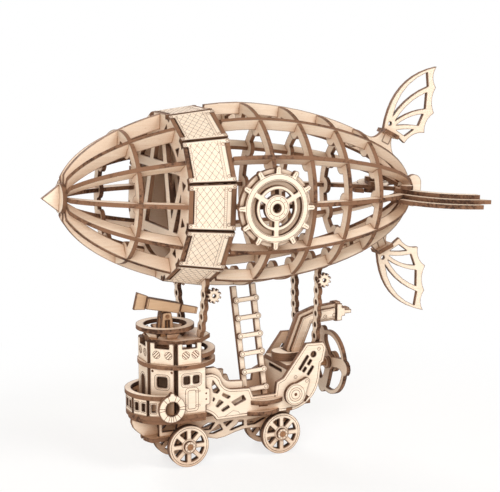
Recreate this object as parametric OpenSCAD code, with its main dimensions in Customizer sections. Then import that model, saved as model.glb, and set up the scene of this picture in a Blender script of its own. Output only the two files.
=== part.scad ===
// Airship model built from plywood plates: a ribbed hull hung over a boat-shaped gondola on four wheels.
// Lengths in mm, +Z up, nose toward -X, standing on the wheels at z = 0.
// Stations (s) run aft from the nose tip; hull plates are drawn as (station, radius) about the hull axis.

/* [Sheet] */
// Thickness of the plywood sheet
ply = 2; // [1.6:0.1:2.4]
// Clearance on each side of a slot, tab or lap
kerf = 0.05; // [0.02:0.01:0.12]

/* [Hull] */
// Largest radius over the longerons
hull_r = 44; // [42:0.5:47]
// Station of the largest radius
widest_s = 95; // [92:0.5:98]
// Length of the forward curve
bow_len = 87.8; // [85:0.2:91]
// Length of the rear curve
stern_len = 95.5; // [95:0.5:99]
// Roundness of the forward curve
bow_round = 1.75; // [1.6:0.05:2.1]
// Roundness of the rear curve
stern_round = 1.75; // [1.6:0.05:2.1]
// Height of the hull axis at the pitch station
hull_axis_z = 129.2; // [127:0.2:132]
// Station about which the hull is pitched
pitch_s = 75.4; // [72:0.2:80]
// Nose-up angle of the hull
hull_pitch = 2.33; // [0:0.1:4]
// Radial depth of a front longeron
longeron_d = 7; // [5.5:0.5:8]
// Radial depth of a rear longeron
rear_longeron_d = 5.6; // [5:0.2:7]
// Distance of the nose disc behind the tip of the forward curve
nose_gap = 1; // [0.8:0.1:2.8]
// Length of the nose plate in front of the disc
nose_len = 8.2; // [8:0.2:10]
// Radius of the nose disc
nose_disc_r = 6.9; // [6:0.1:9]
// Half height of the nose plate at the disc
nose_plate_r = 6.2; // [5:0.1:8]
// Radial width of a former ring
former_w = 4.6; // [4:0.2:7]
// Radius of the rounded pads where a former meets the longerons
former_pad_r = 4.2; // [3:0.2:5]
// How far a former stays below the longerons' outer edges
former_inset = 0.4; // [0.2:0.1:1]
// Station of the front former
front_former_s = 35.5; // [30:0.5:40]
// Station of the first rear former
rear_former_1_s = 96; // [90:0.5:100]
// Station of the second rear former
rear_former_2_s = 116.5; // [112:0.5:120]
// Station of the third rear former
rear_former_3_s = 137; // [130:0.5:142]
// Station of the fourth rear former
rear_former_4_s = 157.5; // [152:0.5:162]
// Distance of the tail disc ahead of the rear curve's end
tail_disc_gap = 2.5; // [2:0.1:3.5]
// Radius of the tail disc
tail_disc_r = 8; // [7:0.1:10]

/* [Armour band] */
// Station of the band's front edge
band_s = 56.1; // [54:0.1:58]
// Length of the band along the hull
band_len = 21.7; // [20:0.1:23]
// Rise of the band's front edge over the longerons
band_rise = 0.3; // [0.1:0.1:0.8]
// Drop of the band's rear edge below the longerons
band_drop = 1; // [0.6:0.1:1.6]
// Gap between neighbouring panels
band_joint = 0.3; // [0.1:0.05:0.8]
// Width of a panel's corner tabs
band_tab = 2.2; // [1.5:0.1:3]
// Inner radius of a bulkhead's rim
bulkhead_rim_r = 29; // [27:0.5:30]
// Width of a bulkhead's bars
bulkhead_bar_w = 4.6; // [4:0.2:5.4]

/* [Medallions] */
// Outer radius of the wheel ring
medal_r = 15.9; // [15:0.1:17]
// Radial width of the wheel ring
medal_ring_w = 3.4; // [2.5:0.1:4]
// Radius over the knobs
medal_knob_r = 19.1; // [18:0.1:20]
// Width of a knob
medal_knob_w = 2.6; // [2:0.1:3]
// Radius of the hub plate
medal_hub_r = 6.2; // [5.5:0.1:7]
// Outer radius of the backing ring
medal_back_r = 17.8; // [17:0.1:18.5]
// Inner radius of the backing ring
medal_back_hole_r = 10.2; // [9:0.1:10.4]

/* [Tail] */
// Distance of the fin roots ahead of the tail disc
fin_gap = 10; // [9:0.5:12]
// Radius of the top of a fin post
fin_post_r = 27.9; // [26:0.1:29]
// Slope of the collars, aft end nearer the axis
fin_tilt = 24.8; // [20:0.2:28]
// Length of a fin's tab along the hull
fin_tab_w = 4; // [3:0.5:5]
// Depth of a fin's tab below its collar
fin_tab_d = 4; // [3:0.5:5]
// Half width of the collar plate
fin_collar_y = 4; // [3:0.5:5]
// Radius of the hanging hole in a fin
fin_hole_r = 1; // [0.8:0.1:1.2]
// Station of the tail wing's tips, the end of the model
wing_tip_s = 210; // [206:0.5:214]
// Distance of the tail wing's tips from the hull axis
wing_tip_r = 47.2; // [44:0.5:49]
// Bulge of the tail wing's leading edge
wing_sag = 9.9; // [8:0.1:11]
// Width of the strips over and under the wing's leading edge
wing_strip_w = 5; // [4:0.5:6]
// Step between one layer of the wing and the next
wing_step = 4.2; // [3:0.1:5]
// Radius of the clamp discs at the wing roots
wing_clamp_r = 3.1; // [2.6:0.1:3.6]
// Length of the tail post plate behind the tail disc
tail_post_len = 8.6; // [7:0.1:10]
// Half height of the tail post plate
tail_post_r = 8.1; // [7:0.1:9]

/* [Tower] */
// Station of the tower's middle
tower_s = 64.8; // [63:0.2:66]
// Distance of the tower's outer faces from its middle
tower_ap = 17; // [16:0.2:17.4]
// Gap between neighbouring tower walls at their inner corners
wall_joint = 0.2; // [0.1:0.05:0.5]
// Height of the lower walls
wall_lower_h = 22; // [20:0.5:23]
// Height of the upper walls up to the roof
wall_upper_h = 7.7; // [6.5:0.1:9]
// Width of a merlon at each end of an upper wall
merlon_w = 2.4; // [1.8:0.1:3]
// Height of a merlon over the wall between
merlon_h = 2.6; // [2:0.1:3]
// Height of the roof's underside over the wall between the merlons
roof_gap = 1.5; // [0.5:0.1:2]
// Radius of the balcony plate
balcony_r = 18.6; // [18.2:0.1:19.5]
// Station of the crow's nest's middle
nest_s = 59.2; // [58:0.1:60]
// Outer radius of the crow's nest ring
nest_r = 13.9; // [13:0.1:15]
// Radial width of the crow's nest ring
nest_w = 3.7; // [3:0.1:4.5]
// Height of the crow's nest ring above the roof
nest_h = 3.7; // [3:0.1:5]

/* [Telescope] */
// Height of the telescope's pin above the roof
scope_pin_h = 9.5; // [8.5:0.1:11]
// Radius of the telescope's pin
scope_pin_r = 0.8; // [0.6:0.05:1]
// Running clearance of the telescope's pin
pin_gap = 0.05; // [0.02:0.01:0.09]
// Side clearance of a moving piece
side_gap = 0.3; // [0.2:0.05:0.4]
// Upward tilt of the telescope at rest
scope_tilt = 13.3; // [10:0.1:16]
// Length of the telescope's tube ahead of the pin
scope_front = 11; // [9:0.5:13]
// Length of the telescope's tube behind the pin
scope_back = 7; // [6:0.5:8]
// Length of the flared mouth
scope_bell_len = 5.5; // [4:0.5:7]
// Length of the eyepiece
scope_eye_len = 8.6; // [7:0.1:10.5]
// Half height of the tube at its front
scope_tube_r = 3.2; // [2.8:0.1:3.6]
// Half height of the mouth
scope_bell_r = 4.2; // [3.6:0.1:5]
// Half height of the eyepiece
scope_eye_r = 1.8; // [1.4:0.1:2]

/* [Gondola] */
// Height of the underside of the floor
floor_z = 24; // [23.6:0.1:24.6]
// Distance of the side plates' inner faces from the middle
side_y = 12.6; // [12.2:0.1:13]
// Half width of the bow deck
bow_r = 18; // [17.4:0.1:18.6]
// Station of the middle of the round bow
bow_s = 58; // [57:0.1:59]
// Height of the bow rail's top above the bow deck
rail_h = 10; // [8:0.5:11]
// Radial width of the rail
rail_w = 3; // [2.4:0.1:3.2]
// Outer radius of the lifebuoy
buoy_r = 6.6; // [6:0.1:7.2]
// Radius of the hole in the lifebuoy
buoy_hole_r = 3.5; // [3:0.1:4]
// Station of the waist's front
waist_s = 97; // [95:0.5:98]
// Height of the waist
waist_z = 31.8; // [31:0.1:33]
// Height of the stern quarters' top
quarter_z = 55; // [53:0.5:57]
// Length of a footboard
step_len = 16; // [14:0.5:17]
// Reach of a footboard beyond the side plate
step_reach = 3.5; // [2.5:0.1:4.5]

/* [Running gear] */
// Radius of the wheels
wheel_r = 10.2; // [9.8:0.1:10.6]
// Thickness of the wheels
wheel_t = 3; // [2.6:0.1:3.4]
// Distance of the wheels' outer faces from the middle
wheel_y = 11.6; // [11.2:0.1:12]
// Radius of the axles
axle_r = 1.5; // [1.2:0.1:1.8]
// Station of the front axle
front_axle_s = 66.4; // [66:0.2:68]
// Station of the rear axle
rear_axle_s = 115.4; // [113:0.2:117]
// Distance of the chassis plates' inner faces from the middle
chassis_y = 4.4; // [3.8:0.1:4.8]
// Radius of the stern screw's hoop
screw_r = 16.2; // [15:0.1:17]
// Radial width of the hoop
hoop_w = 2.2; // [1.8:0.1:3]
// Height of the screw's shaft
screw_z = 40; // [39:0.1:41]
// Station of the screw
screw_s = 147.3; // [146:0.1:150]
// Radius of the screw's shaft
shaft_r = 1.5; // [1.2:0.1:1.8]

/* [Hangers and ladder] */
// Station of the front hangers' front faces
front_hanger_s = 71.7; // [70:0.1:74]
// Distance of the front hangers' feet from the middle
front_foot_y = 10.5; // [9:0.1:12]
// Distance of the front hangers' heads from the middle
front_head_y = 17.5; // [16:0.1:18.5]
// Distance of the rear hangers' feet from the middle
rear_foot_y = 8.6; // [7:0.1:9]
// Distance of the rear hangers' heads from the middle
rear_head_y = 12.4; // [11:0.1:13]
// Half width of a hanger's links
hanger_r = 2.8; // [2.4:0.1:3]
// Length of one link
link_len = 5.5; // [5:0.1:6.5]
// Outer radius of the toothed discs
gear_r = 3.6; // [3:0.1:4.2]
// Teeth of a toothed disc
gear_teeth = 10; // [8:1:12]
// Distance between the ladder's rails
ladder_w = 10.3; // [9:0.1:11]
// Width of a rail
ladder_rail_w = 2.8; // [2.4:0.1:3.2]
// Distance between rungs
rung_pitch = 8.7; // [8:0.1:9.5]
// Station of the ladder's foot
ladder_foot_s = 102.3; // [101:0.1:103]
// Distance of the ladder's foot from the middle
ladder_foot_y = 9.8; // [9:0.1:10.2]
// Station of the ladder's head
ladder_head_s = 101.4; // [99:0.2:103]

/* [Hidden] */

$fa = 6;
$fs = 0.4;
pale = [0.93, 0.83, 0.68];
tan_wood = [0.85, 0.72, 0.55];
brown = [0.62, 0.45, 0.32];

// Longerons stand every 30 degrees; the band has one flat panel over each of them
sector = 30;
half_sector = sector / 2;
overall_len = wing_tip_s;
curve_n = 20;
short_n = 5;
core_r = (ply / 2 + side_gap) / tan(half_sector);
nose_s = widest_s - bow_len + nose_gap;
nose_back_s = nose_s + ply;
band_end_s = band_s + band_len;
band_front_ap = hull_rad(band_s) + band_rise;
band_rear_ap = hull_rad(band_end_s) - band_drop;
panel_tilt = atan((band_rear_ap - band_front_ap) / band_len);
rear_bulk_s = band_end_s - ply;
tail_disc_s = widest_s + stern_len - tail_disc_gap;
fin_s = tail_disc_s - fin_gap;
rear_start_s = band_end_s + kerf;
panel_half_front = (band_front_ap - ply * cos(panel_tilt)) * tan(half_sector) - band_joint / 2;
panel_half_rear = (band_rear_ap - ply * cos(panel_tilt)) * tan(half_sector) - band_joint / 2;

// Fin outline from the middle of its collar: rib ends, then windows as root, outer corners and two bulges
fin_front = 2.8;
fin_back = 4.2;
fin_sag = 7.5;
fin_tips = [[25.9, 34.4], [26.1, 24], [25.8, 11.1], [20.8, 1.2], [9.5, -3.9]];
fin_windows = [[[2, 9.5], [20.8, 31.6], [21.8, 24.5], 4.1, -1.9], [[3.4, 7.1], [21.1, 21.5], [20.8,
    13.3], 2, -1.2],
    [[4.1, 5], [19.7, 10.7], [17.2, 4.8], 1.25, -0.5], [[4.4, 2.6], [14.5, 2.9], [9.6, -0.4], 0.3, 0]];
fin_hole = [0.6, 5.9];
collar_top = ply / cos(fin_tilt);
collar_half = 4.4;
post_front = 4;
post_back = 2;
post_flare = 12;
scallop = 1.8;

// Bars of a bulkhead as (distance from the middle, height): two level ones, then a leg and a brace
bulkhead_levels = [14.7, -16];
bulkhead_legs = [[[5.4, 28], [20.6, -24]], [[30, 13], [17.6, -15]]];

// Wing outline: root and heel, then tips from the outer tip
wing_root = [tail_disc_s - 14, 15];
wing_heel = [tail_disc_s - 1.5, 12];
wing_tips = [[0, 0], [-3, -10.2], [-9.5, -18.7], [-17, -25.7]];
wing_end_cut = 4;
wing_rib = 1;
wing_clamp_at = [tail_disc_s - 8, 18];

// Levels of the gondola
deck_z = floor_z + ply;
deck_top = deck_z + ply;
balcony_z = deck_top + wall_lower_h;
upper_z = balcony_z + ply;
roof_z = upper_z + wall_upper_h + roof_gap;
roof_top = roof_z + ply;
nest_z = roof_top + nest_h;
wall_w = 2 * ((tower_ap - ply) * tan(22.5) - wall_joint);
side_wall_end_s = tower_s + wall_w / 2 + kerf;
deck_end_s = side_wall_end_s + ply;
side_s = deck_end_s + kerf;
side_out = side_y + ply;
side_bottom = floor_z - 1.5;
side_top = 45.4;
floor_end_s = 130.6;
waist_len = 13.5;
cover_at = [120.6, 30.6];
cover_r = 5.6;
scope_pin_z = roof_top + scope_pin_h;
scope_eye_end = scope_back + scope_eye_len;
scope_taper = 0.7;
scope_step = 0.5;
scope_axis_h = scope_tube_r + 2.5;
stand_head_r = 2;
stand_foot = 3.6;
gun_foot_s = 124.4;
gun_foot_w = 6;
gun_knee_z = 46;
seat_s = 117.5;
seat_z = 42.6;
seat_r = 6.4;
seat_slot_w = 14.4;
seat_slot_h = 1.5;
frame_s = 133.3;
chassis_out = chassis_y + ply;

function hull_rad(s) = hull_r * sqrt(max(0, s < widest_s
    ? 1 - pow((widest_s - s) / bow_len, bow_round)
    : 1 - pow((s - widest_s) / stern_len, stern_round)));
function lap_r(s) = hull_rad(s + ply / 2) - (s < band_s ? longeron_d : rear_longeron_d) / 2;
function band_inner(s) = band_front_ap + (s - band_s) * tan(panel_tilt) - ply / cos(panel_tilt);
function bow_curve(s0, s1, d, n) = [for (i = [0:n])
    let (s = s0 + (s1 - s0) * (1 - cos(90 * i / n))) [s, max(hull_rad(s) - d, core_r)]];
function stern_curve(s0, s1, d, n) = [for (i = [0:n])
    let (s = s0 + (s1 - s0) * sin(90 * i / n)) [s, max(hull_rad(s) - d, core_r)]];
function reversed(v) = [for (i = [len(v) - 1:-1:0]) v[i]];
function left_of(p, q) = [p[1] - q[1], q[0] - p[0]] / norm(q - p);
// The point a distance d from p toward q
function toward(p, q, d) = p + (q - p) * d / norm(q - p);
// Points from p up to q along a curve that bulges to the left by sag
function bulge(p, q, sag, n) = [for (i = [0:n - 1])
    let (t = i / n) p + (q - p) * t + left_of(p, q) * 4 * sag * t * (1 - t)];
// A place on the outer edge of longeron k at station s, with the hull pitched
function hull_pt(s, k) =
    let (r = hull_rad(s), z = r * cos(sector * k), x = s - pitch_s)
    [pitch_s + x * cos(hull_pitch) + z * sin(hull_pitch), -r * sin(sector * k),
    hull_axis_z - x * sin(hull_pitch) + z * cos(hull_pitch)];

module station() translate([-overall_len / 2, 0, 0]) children();
module in_hull() station() translate([pitch_s, 0, hull_axis_z]) rotate([0, hull_pitch, 0])
    translate([-pitch_s, 0, 0]) children();
module upright(y, t = ply) translate([0, y + t, 0]) rotate([90, 0, 0]) linear_extrude(t) children();
module across(s, t = ply) translate([s, 0, 0]) rotate([90, 0, 90]) linear_extrude(t) children();
module level(z, t = ply) translate([0, 0, z]) linear_extrude(t) children();
module radial(k, t = ply) rotate([sector * k, 0, 0]) upright(-t / 2, t) children();
module both_sides() {
    children();
    mirror([0, 1, 0]) children();
}

// Hull plates
module lap_notch(s) translate([s - kerf, 0]) square([ply + 2 * kerf, lap_r(s) + kerf]);

module front_longeron_shape() difference() {
    polygon(concat(bow_curve(nose_back_s, band_s - kerf, 0, curve_n),
        reversed(bow_curve(nose_back_s, band_s - kerf, longeron_d, curve_n))));
    lap_notch(front_former_s);
}

module rear_longeron_shape() difference() {
    polygon(concat(stern_curve(rear_start_s, tail_disc_s, 0, curve_n),
        reversed(stern_curve(rear_start_s, tail_disc_s, rear_longeron_d, curve_n))));
    for (s = [rear_former_1_s, rear_former_2_s, rear_former_3_s, rear_former_4_s]) lap_notch(s);
}

// Places a plan drawn from the middle of the collar's underside, along its slope
module on_collar() translate([fin_s, fin_post_r]) rotate(-fin_tilt) children();

module post_longeron_shape() {
    front = [fin_s - post_front, fin_post_r + post_front * tan(fin_tilt)];
    back = [fin_s + post_back, fin_post_r - post_back * tan(fin_tilt)];
    front_foot = [fin_s - post_flare, hull_rad(fin_s - post_flare)];
    back_foot = [fin_s + post_flare / 2, hull_rad(fin_s + post_flare / 2)];
    difference() {
        union() {
            rear_longeron_shape();
            polygon(concat(bulge(front_foot, front, -1.6, short_n), [front], bulge(back, back_foot,
                -1.6, short_n),
                [back_foot, back_foot - [0, ply], front_foot - [0, ply]]));
        }
        on_collar() translate([-fin_tab_w / 2 - kerf, -fin_tab_d - kerf])
            square([fin_tab_w + 2 * kerf, fin_tab_d + ply]);
    }
}

module former(s) across(s) difference() {
    r = hull_rad(s + ply / 2) - former_inset;
    union() {
        difference() {
            circle(r);
            circle(r - former_w);
        }
        for (k = [0:11]) rotate(sector * k) translate([0, r - former_w]) circle(former_pad_r);
    }
    for (k = [0:11]) rotate(sector * k) translate([-ply / 2 - kerf, lap_r(s)])
        square([ply + 2 * kerf, longeron_d]);
}

// Straight bar of a bulkhead from p to q
module bar(p, q) translate(p) rotate(atan2(q[1] - p[1], q[0] - p[0]))
    translate([0, -bulkhead_bar_w / 2]) square([norm(q - p), bulkhead_bar_w]);

// Twelve-sided frame with a tab in the middle of each side, between the panels' corner tabs
module bulkhead(s, ap, reach, half) across(s) difference() {
    tab = half - band_tab - kerf;
    union() {
        rotate(half_sector) circle(ap / cos(half_sector), $fn = 12);
        for (k = [0:11]) rotate(sector * k) translate([-tab, 0]) square([2 * tab, reach]);
    }
    difference() {
        circle(bulkhead_rim_r);
        for (z = bulkhead_levels) translate([0, z]) square([2 * bulkhead_rim_r, bulkhead_bar_w],
            center = true);
        for (side = [-1, 1], leg = bulkhead_legs) bar([side * leg[0][0], leg[0][1]],
            [side * leg[1][0], leg[1][1]]);
    }
    for (k = [0:11]) rotate(sector * k + half_sector) translate([0, (ap + bulkhead_rim_r) / 2])
        rotate(90) circle((ap - bulkhead_rim_r) / 3, $fn = 3);
}

module band_panel(k) {
    long = band_len / cos(panel_tilt);
    cut = ply / cos(panel_tilt) + ply * tan(panel_tilt) + kerf;
    w0 = panel_half_front;
    w1 = panel_half_rear;
    rotate([sector * k, 0, 0]) translate([band_s, 0, band_front_ap]) rotate([0, -panel_tilt, 0])
        translate([0, 0, -ply]) linear_extrude(ply) difference() {
            polygon([[0, -w0], [long, -w1], [long, w1], [0, w0]]);
            translate([-ply, -w0 + band_tab]) square([cut + ply, 2 * (w0 - band_tab)]);
            translate([long - cut, -w1 + band_tab]) square([cut + ply, 2 * (w1 - band_tab)]);
        }
}

module nose_plate() color(pale) in_hull() upright(-ply / 2) union() {
    polygon([[nose_s - nose_len, 0], [nose_s, -nose_plate_r], [nose_s, nose_plate_r]]);
    translate([nose_s - ply, -core_r / 2]) square([2 * ply, core_r]);
}

module nose_disc() color(tan_wood) in_hull() across(nose_s) difference() {
    circle(nose_disc_r);
    translate([-ply / 2 - kerf, -core_r / 2 - kerf]) square([ply + 2 * kerf, core_r + 2 * kerf]);
}

module front_longerons() color(pale) in_hull() for (k = [0:11]) radial(k) front_longeron_shape();
module front_former() color(brown) in_hull() former(front_former_s);
module front_bulkhead() color(tan_wood) in_hull()
    bulkhead(band_s, band_inner(band_s) - kerf, band_front_ap, panel_half_front);
module rear_bulkhead() color(tan_wood) in_hull()
    bulkhead(rear_bulk_s, band_inner(rear_bulk_s) - kerf, band_inner(rear_bulk_s) + ply, panel_half_rear);
module band_panels() color(pale) in_hull() for (k = [0:11]) band_panel(k);
module rear_longerons() color(pale) in_hull()
    for (k = [1, 2, 3, 4, 5, 7, 8, 9, 10, 11]) radial(k) rear_longeron_shape();
module post_longerons() color(pale) in_hull() for (k = [0, 6]) radial(k) post_longeron_shape();
module rear_former_1() color(brown) in_hull() former(rear_former_1_s);
module rear_former_2() color(brown) in_hull() former(rear_former_2_s);
module rear_former_3() color(brown) in_hull() former(rear_former_3_s);
module rear_former_4() color(brown) in_hull() former(rear_former_4_s);

// Tail: fins, wings and the post plate
module tail_disc() color(tan_wood) in_hull() across(tail_disc_s) difference() {
    circle(tail_disc_r);
    translate([-ply / 2 - kerf, -core_r / 2 - kerf]) square([ply + 2 * kerf, core_r + 2 * kerf]);
}

module tail_post() color(pale) in_hull() upright(-ply / 2) {
    back_s = tail_disc_s + ply;
    corner = tail_post_len / 2;
    translate([back_s, -tail_post_r + corner]) square([tail_post_len, 2 * (tail_post_r - corner)]);
    for (side = [-1, 1]) translate([back_s, side * (tail_post_r - corner)]) intersection() {
        translate([corner, 0]) circle(corner);
        translate([0, -corner]) square(2 * corner);
    }
    translate([back_s - 2 * ply, -core_r / 2]) square([3 * ply, core_r]);
}

// Open window of a rib plate: root corner, two outer corners, bulges of its two long sides
module rib_window(w) polygon(concat(bulge(w[0], w[1], w[3], short_n), [w[1]], bulge(w[2], w[0], w[4],
    short_n)));

module fin_shape() {
    root = [for (x = [-fin_front, fin_back]) [x, collar_top + kerf - x * tan(fin_tilt)]];
    difference() {
        union() {
            translate([fin_s, fin_post_r]) polygon(concat(bulge(root[0], fin_tips[0], fin_sag,
                curve_n / 2),
                [for (i = [0:3]) each bulge(fin_tips[i], fin_tips[i + 1], -scallop, short_n)],
                [fin_tips[4], root[1]]));
            on_collar() translate([-fin_tab_w / 2, -fin_tab_d]) square([fin_tab_w, fin_tab_d + 2 * ply]);
        }
        translate([fin_s, fin_post_r]) {
            for (w = fin_windows) rib_window(w);
            translate(fin_hole) circle(fin_hole_r);
        }
    }
}

module fin_collar() translate([fin_s, 0, fin_post_r]) rotate([0, fin_tilt, 0]) level(0) difference() {
    translate([-collar_half, -fin_collar_y]) square([2 * collar_half, 2 * fin_collar_y]);
    translate([-fin_tab_w / 2 - kerf, -ply / 2 - kerf]) square([fin_tab_w + 2 * kerf, ply + 2 * kerf]);
}

module fins() color(pale) in_hull() for (k = [0, 6]) radial(k) fin_shape();
module fin_collars() color(brown) in_hull() for (turn = [0, 180]) rotate([turn, 0, 0]) fin_collar();

module wing_shape() {
    tips = [for (p = wing_tips) [wing_tip_s, wing_tip_r] + p];
    difference() {
        polygon(concat(bulge(wing_root, tips[0], wing_sag, curve_n / 2),
            [for (i = [0:2]) each bulge(tips[i], tips[i + 1], -scallop, short_n)], [tips[3], wing_heel]));
        polygon(concat([[rear_former_4_s, 0]], stern_curve(rear_former_4_s, tail_disc_s, -kerf, curve_n),
            [[tail_disc_s, 0]]));
        for (i = [0:2]) rib_window([wing_clamp_at * 0.7 + (tips[i] + tips[i + 1]) * 0.15,
            toward(tips[i], wing_clamp_at, 2.5 * ply) - left_of(wing_clamp_at, tips[i]) * wing_rib,
            toward(tips[i + 1], wing_clamp_at, 1.3 * ply) + left_of(wing_clamp_at, tips[i + 1])
                * wing_rib,
            0.6, -0.3]);
    }
}

// Strip along the wing's leading edge, moved out by step and ended short of the tip
module wing_strip(step, cut) {
    tip = [wing_tip_s, wing_tip_r];
    out = left_of(wing_root, tip) * step;
    in = out - left_of(wing_root, tip) * wing_strip_w;
    difference() {
        polygon(concat(bulge(wing_root + out, tip + out, wing_sag, curve_n / 2), [tip + out, tip + in],
            reversed(bulge(wing_root + in, tip + in, wing_sag, curve_n / 2))));
        translate([wing_tip_s - cut, 0]) square([4 * wing_strip_w, 2 * wing_tip_r]);
    }
}

module tail_wings() color(pale) in_hull() both_sides() level(-ply / 2) wing_shape();
module wing_strips() color(brown) in_hull() both_sides() {
    level(ply / 2) wing_strip(-wing_step, wing_end_cut);
    level(-1.5 * ply) wing_strip(wing_step, 1.5 * wing_end_cut);
}
module wing_clamps() color(brown) in_hull() both_sides() translate(wing_clamp_at) {
    for (z = [1.5, -1.5]) level(z * ply) circle(wing_clamp_r);
}

// Medallions: a spoked hand wheel over a backing ring, on each side of the hull
module medallion_shape() {
    spoke_w = medal_knob_w;
    difference() {
        union() {
            circle(medal_r);
            for (k = [0:11]) rotate(sector * k) {
                translate([-medal_knob_w / 2, medal_r - ply]) square([medal_knob_w,
                    medal_knob_r - medal_r]);
                translate([0, medal_knob_r - medal_knob_w / 2]) circle(medal_knob_w / 2);
            }
        }
        difference() {
            circle(medal_r - medal_ring_w);
            circle(medal_hub_r);
            difference() {
                circle(medal_hub_r + 2 * ply);
                circle(medal_hub_r + 1.2 * ply);
            }
            for (k = [0:2]) rotate(120 * k + 180) translate([-spoke_w / 2, 0]) square([spoke_w,
                medal_r - ply / 2]);
        }
        circle(medal_hub_r / 3);
    }
}

module medallions() color(pale) in_hull() both_sides() upright(-hull_r - 2 * ply - kerf)
    translate([widest_s, 0]) medallion_shape();
module medallion_backs() color(brown) in_hull() both_sides() upright(-hull_r - ply - kerf)
    translate([widest_s, 0]) difference() {
        circle(medal_back_r);
        circle(medal_back_hole_r);
    }

// Gondola floor, bow and chassis
module bow_outline(r) {
    translate([bow_s, 0]) circle(r);
    translate([bow_s, -r]) square([deck_end_s - bow_s, 2 * r]);
}

module floor_plate() color(tan_wood) station() level(floor_z) {
    bow_outline(bow_r - ply / 2);
    translate([bow_s, -side_y + kerf]) square([floor_end_s - bow_s, 2 * (side_y - kerf)]);
}

module bow_deck() color(brown) station() level(deck_z) bow_outline(bow_r);

keel_s = 62.6;
keel_front_s = 41.5;
keel_low_z = 4.6;
rib_z = 13;
rib_lap_s = 54;

module bow_keel() color(pale) station() upright(-ply / 2) difference() {
    polygon(concat([[keel_s, floor_z], [keel_front_s, floor_z]],
        bulge([keel_front_s, floor_z - ply], [keel_s - ply, keel_low_z], -4, curve_n / 2), [[keel_s,
            keel_low_z]]));
    translate([rib_lap_s - kerf, rib_z - kerf]) square([keel_s - rib_lap_s + ply, ply + 2 * kerf]);
    translate([keel_s - 3 * ply, (floor_z + rib_z + ply) / 2]) circle(1.2 * ply);
}

module bow_rib() color(brown) station() level(rib_z) difference() {
    intersection() {
        translate([keel_s - ply / 2, 0]) circle(keel_s - rib_lap_s + 6);
        translate([bow_s - bow_r, -wheel_y + wheel_t + ply / 2])
            square([keel_s - ply - bow_s + bow_r, 2 * (wheel_y - wheel_t - ply / 2)]);
    }
    translate([bow_s - bow_r, -ply / 2 - kerf]) square([rib_lap_s + kerf - bow_s + bow_r,
        ply + 2 * kerf]);
}

// Lower edge of a chassis plate between the axles, and the openings of its lattice
belly = [[73.6, 13], [78.4, 11.5], [83.1, 10.3], [87.4, 10.8], [92.7, 12.4], [98.1, 13.5], [107, 13]];
truss = [[[74.8, 17], [78.4, 18.9], [82.1, 18.6], [79.7, 15.3], [76.8, 15.5]],
    [[78.9, 13.4], [84, 17.3], [84.8, 17.3], [86.2, 14.5], [81.6, 13.1]], [[86.5, 18.1], [91.7, 18.5],
        [88.2, 15.8]],
    [[89.8, 13.7], [93.5, 16], [95.1, 18.1], [97.3, 17.8], [97.3, 15.3], [93.8, 14.5], [91.1, 13.6]],
    [[99.3, 17.6], [99.3, 15], [103.5, 15], [109.4, 17.5], [107.2, 18.1]]];

module chassis_shape() difference() {
    union() {
        polygon(concat([[keel_s + ply, floor_z], [front_axle_s - 2.6 * axle_r, wheel_r],
            [front_axle_s, wheel_r - 3 * axle_r], [front_axle_s + 2.6 * axle_r, wheel_r]], belly,
            [[rear_axle_s - 2.6 * axle_r, wheel_r], [rear_axle_s, wheel_r - 3 * axle_r],
            [rear_axle_s + 2.6 * axle_r, wheel_r], [rear_axle_s + 6 * axle_r, floor_z]]));
        for (s = [front_axle_s, rear_axle_s]) translate([s, wheel_r]) circle(3 * axle_r);
    }
    for (s = [front_axle_s, rear_axle_s]) translate([s, wheel_r]) circle(axle_r + pin_gap);
    for (w = truss) polygon(w);
}

module chassis_plates() color(tan_wood) station() both_sides() upright(-chassis_out) chassis_shape();

// Tower: eight-sided walls, balcony, roof and crow's nest
module tower_wall(turn, z) translate([tower_s, 0, z]) rotate([0, 0, turn]) upright(-tower_ap) children();

module rounded_window(w, h, r) {
    square([w, h - 2 * r], center = true);
    square([w - 2 * r, h], center = true);
    for (x = [-1, 1], y = [-1, 1]) translate([x * (w / 2 - r), y * (h / 2 - r)]) circle(r);
}

window_z = 16.5;
side_window_s = 0.8;
side_window_gap = 2.4;
door_w = 4.6;
door_h = 13;
hinge_reach = 2.2;
hinge_h = 8;
hinge_z = 7.5;

module wall_plain() translate([-wall_w / 2, 0]) square([wall_w, wall_lower_h]);

module lower_walls() color(pale) station() {
    both_sides() tower_wall(0, deck_top) difference() {
        union() {
            translate([-wall_w / 2, 0]) square([wall_w + ply + kerf, wall_lower_h]);
            translate([wall_w / 2 + ply + kerf, hinge_z])
                rounded_window(2 * hinge_reach, hinge_h, hinge_reach / 2);
        }
        for (x = [-1, 1]) translate([side_window_s + x * side_window_gap, window_z])
            rounded_window(3.3, 4, 0.8);
    }
    for (turn = [-45, -135]) tower_wall(turn, deck_top) difference() {
        wall_plain();
        translate([0, window_z - ply / 2]) rounded_window(5.4, 5.2, 1);
    }
    tower_wall(-90, deck_top) difference() {
        wall_plain();
        translate([-door_w / 2, ply]) square([door_w, door_h]);
        translate([0, door_h + ply]) circle(door_w / 2);
    }
    translate([0, 0, deck_top]) across(side_wall_end_s) translate([-tower_ap + ply + kerf, 0])
        square([2 * (tower_ap - ply - kerf), wall_lower_h]);
}

module balcony_plate() color(brown) station() level(balcony_z) translate([tower_s, 0]) circle(balcony_r);

gallery_h = 2.6;
gallery_w = 3.6;

module gallery_rail() color(brown) station() translate([tower_s, 0, 0]) {
    level(upper_z + gallery_h) difference() {
        circle(balcony_r);
        circle(balcony_r - gallery_w);
        translate([-2 * balcony_r, -2 * balcony_r]) square([2 * balcony_r + wall_w / 2 + kerf,
            4 * balcony_r]);
    }
    for (turn = [-45, 0, 45]) rotate([0, 0, turn]) translate([balcony_r - gallery_w, -ply / 2, upper_z])
        cube([gallery_w - ply / 2, ply, gallery_h]);
}

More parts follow.
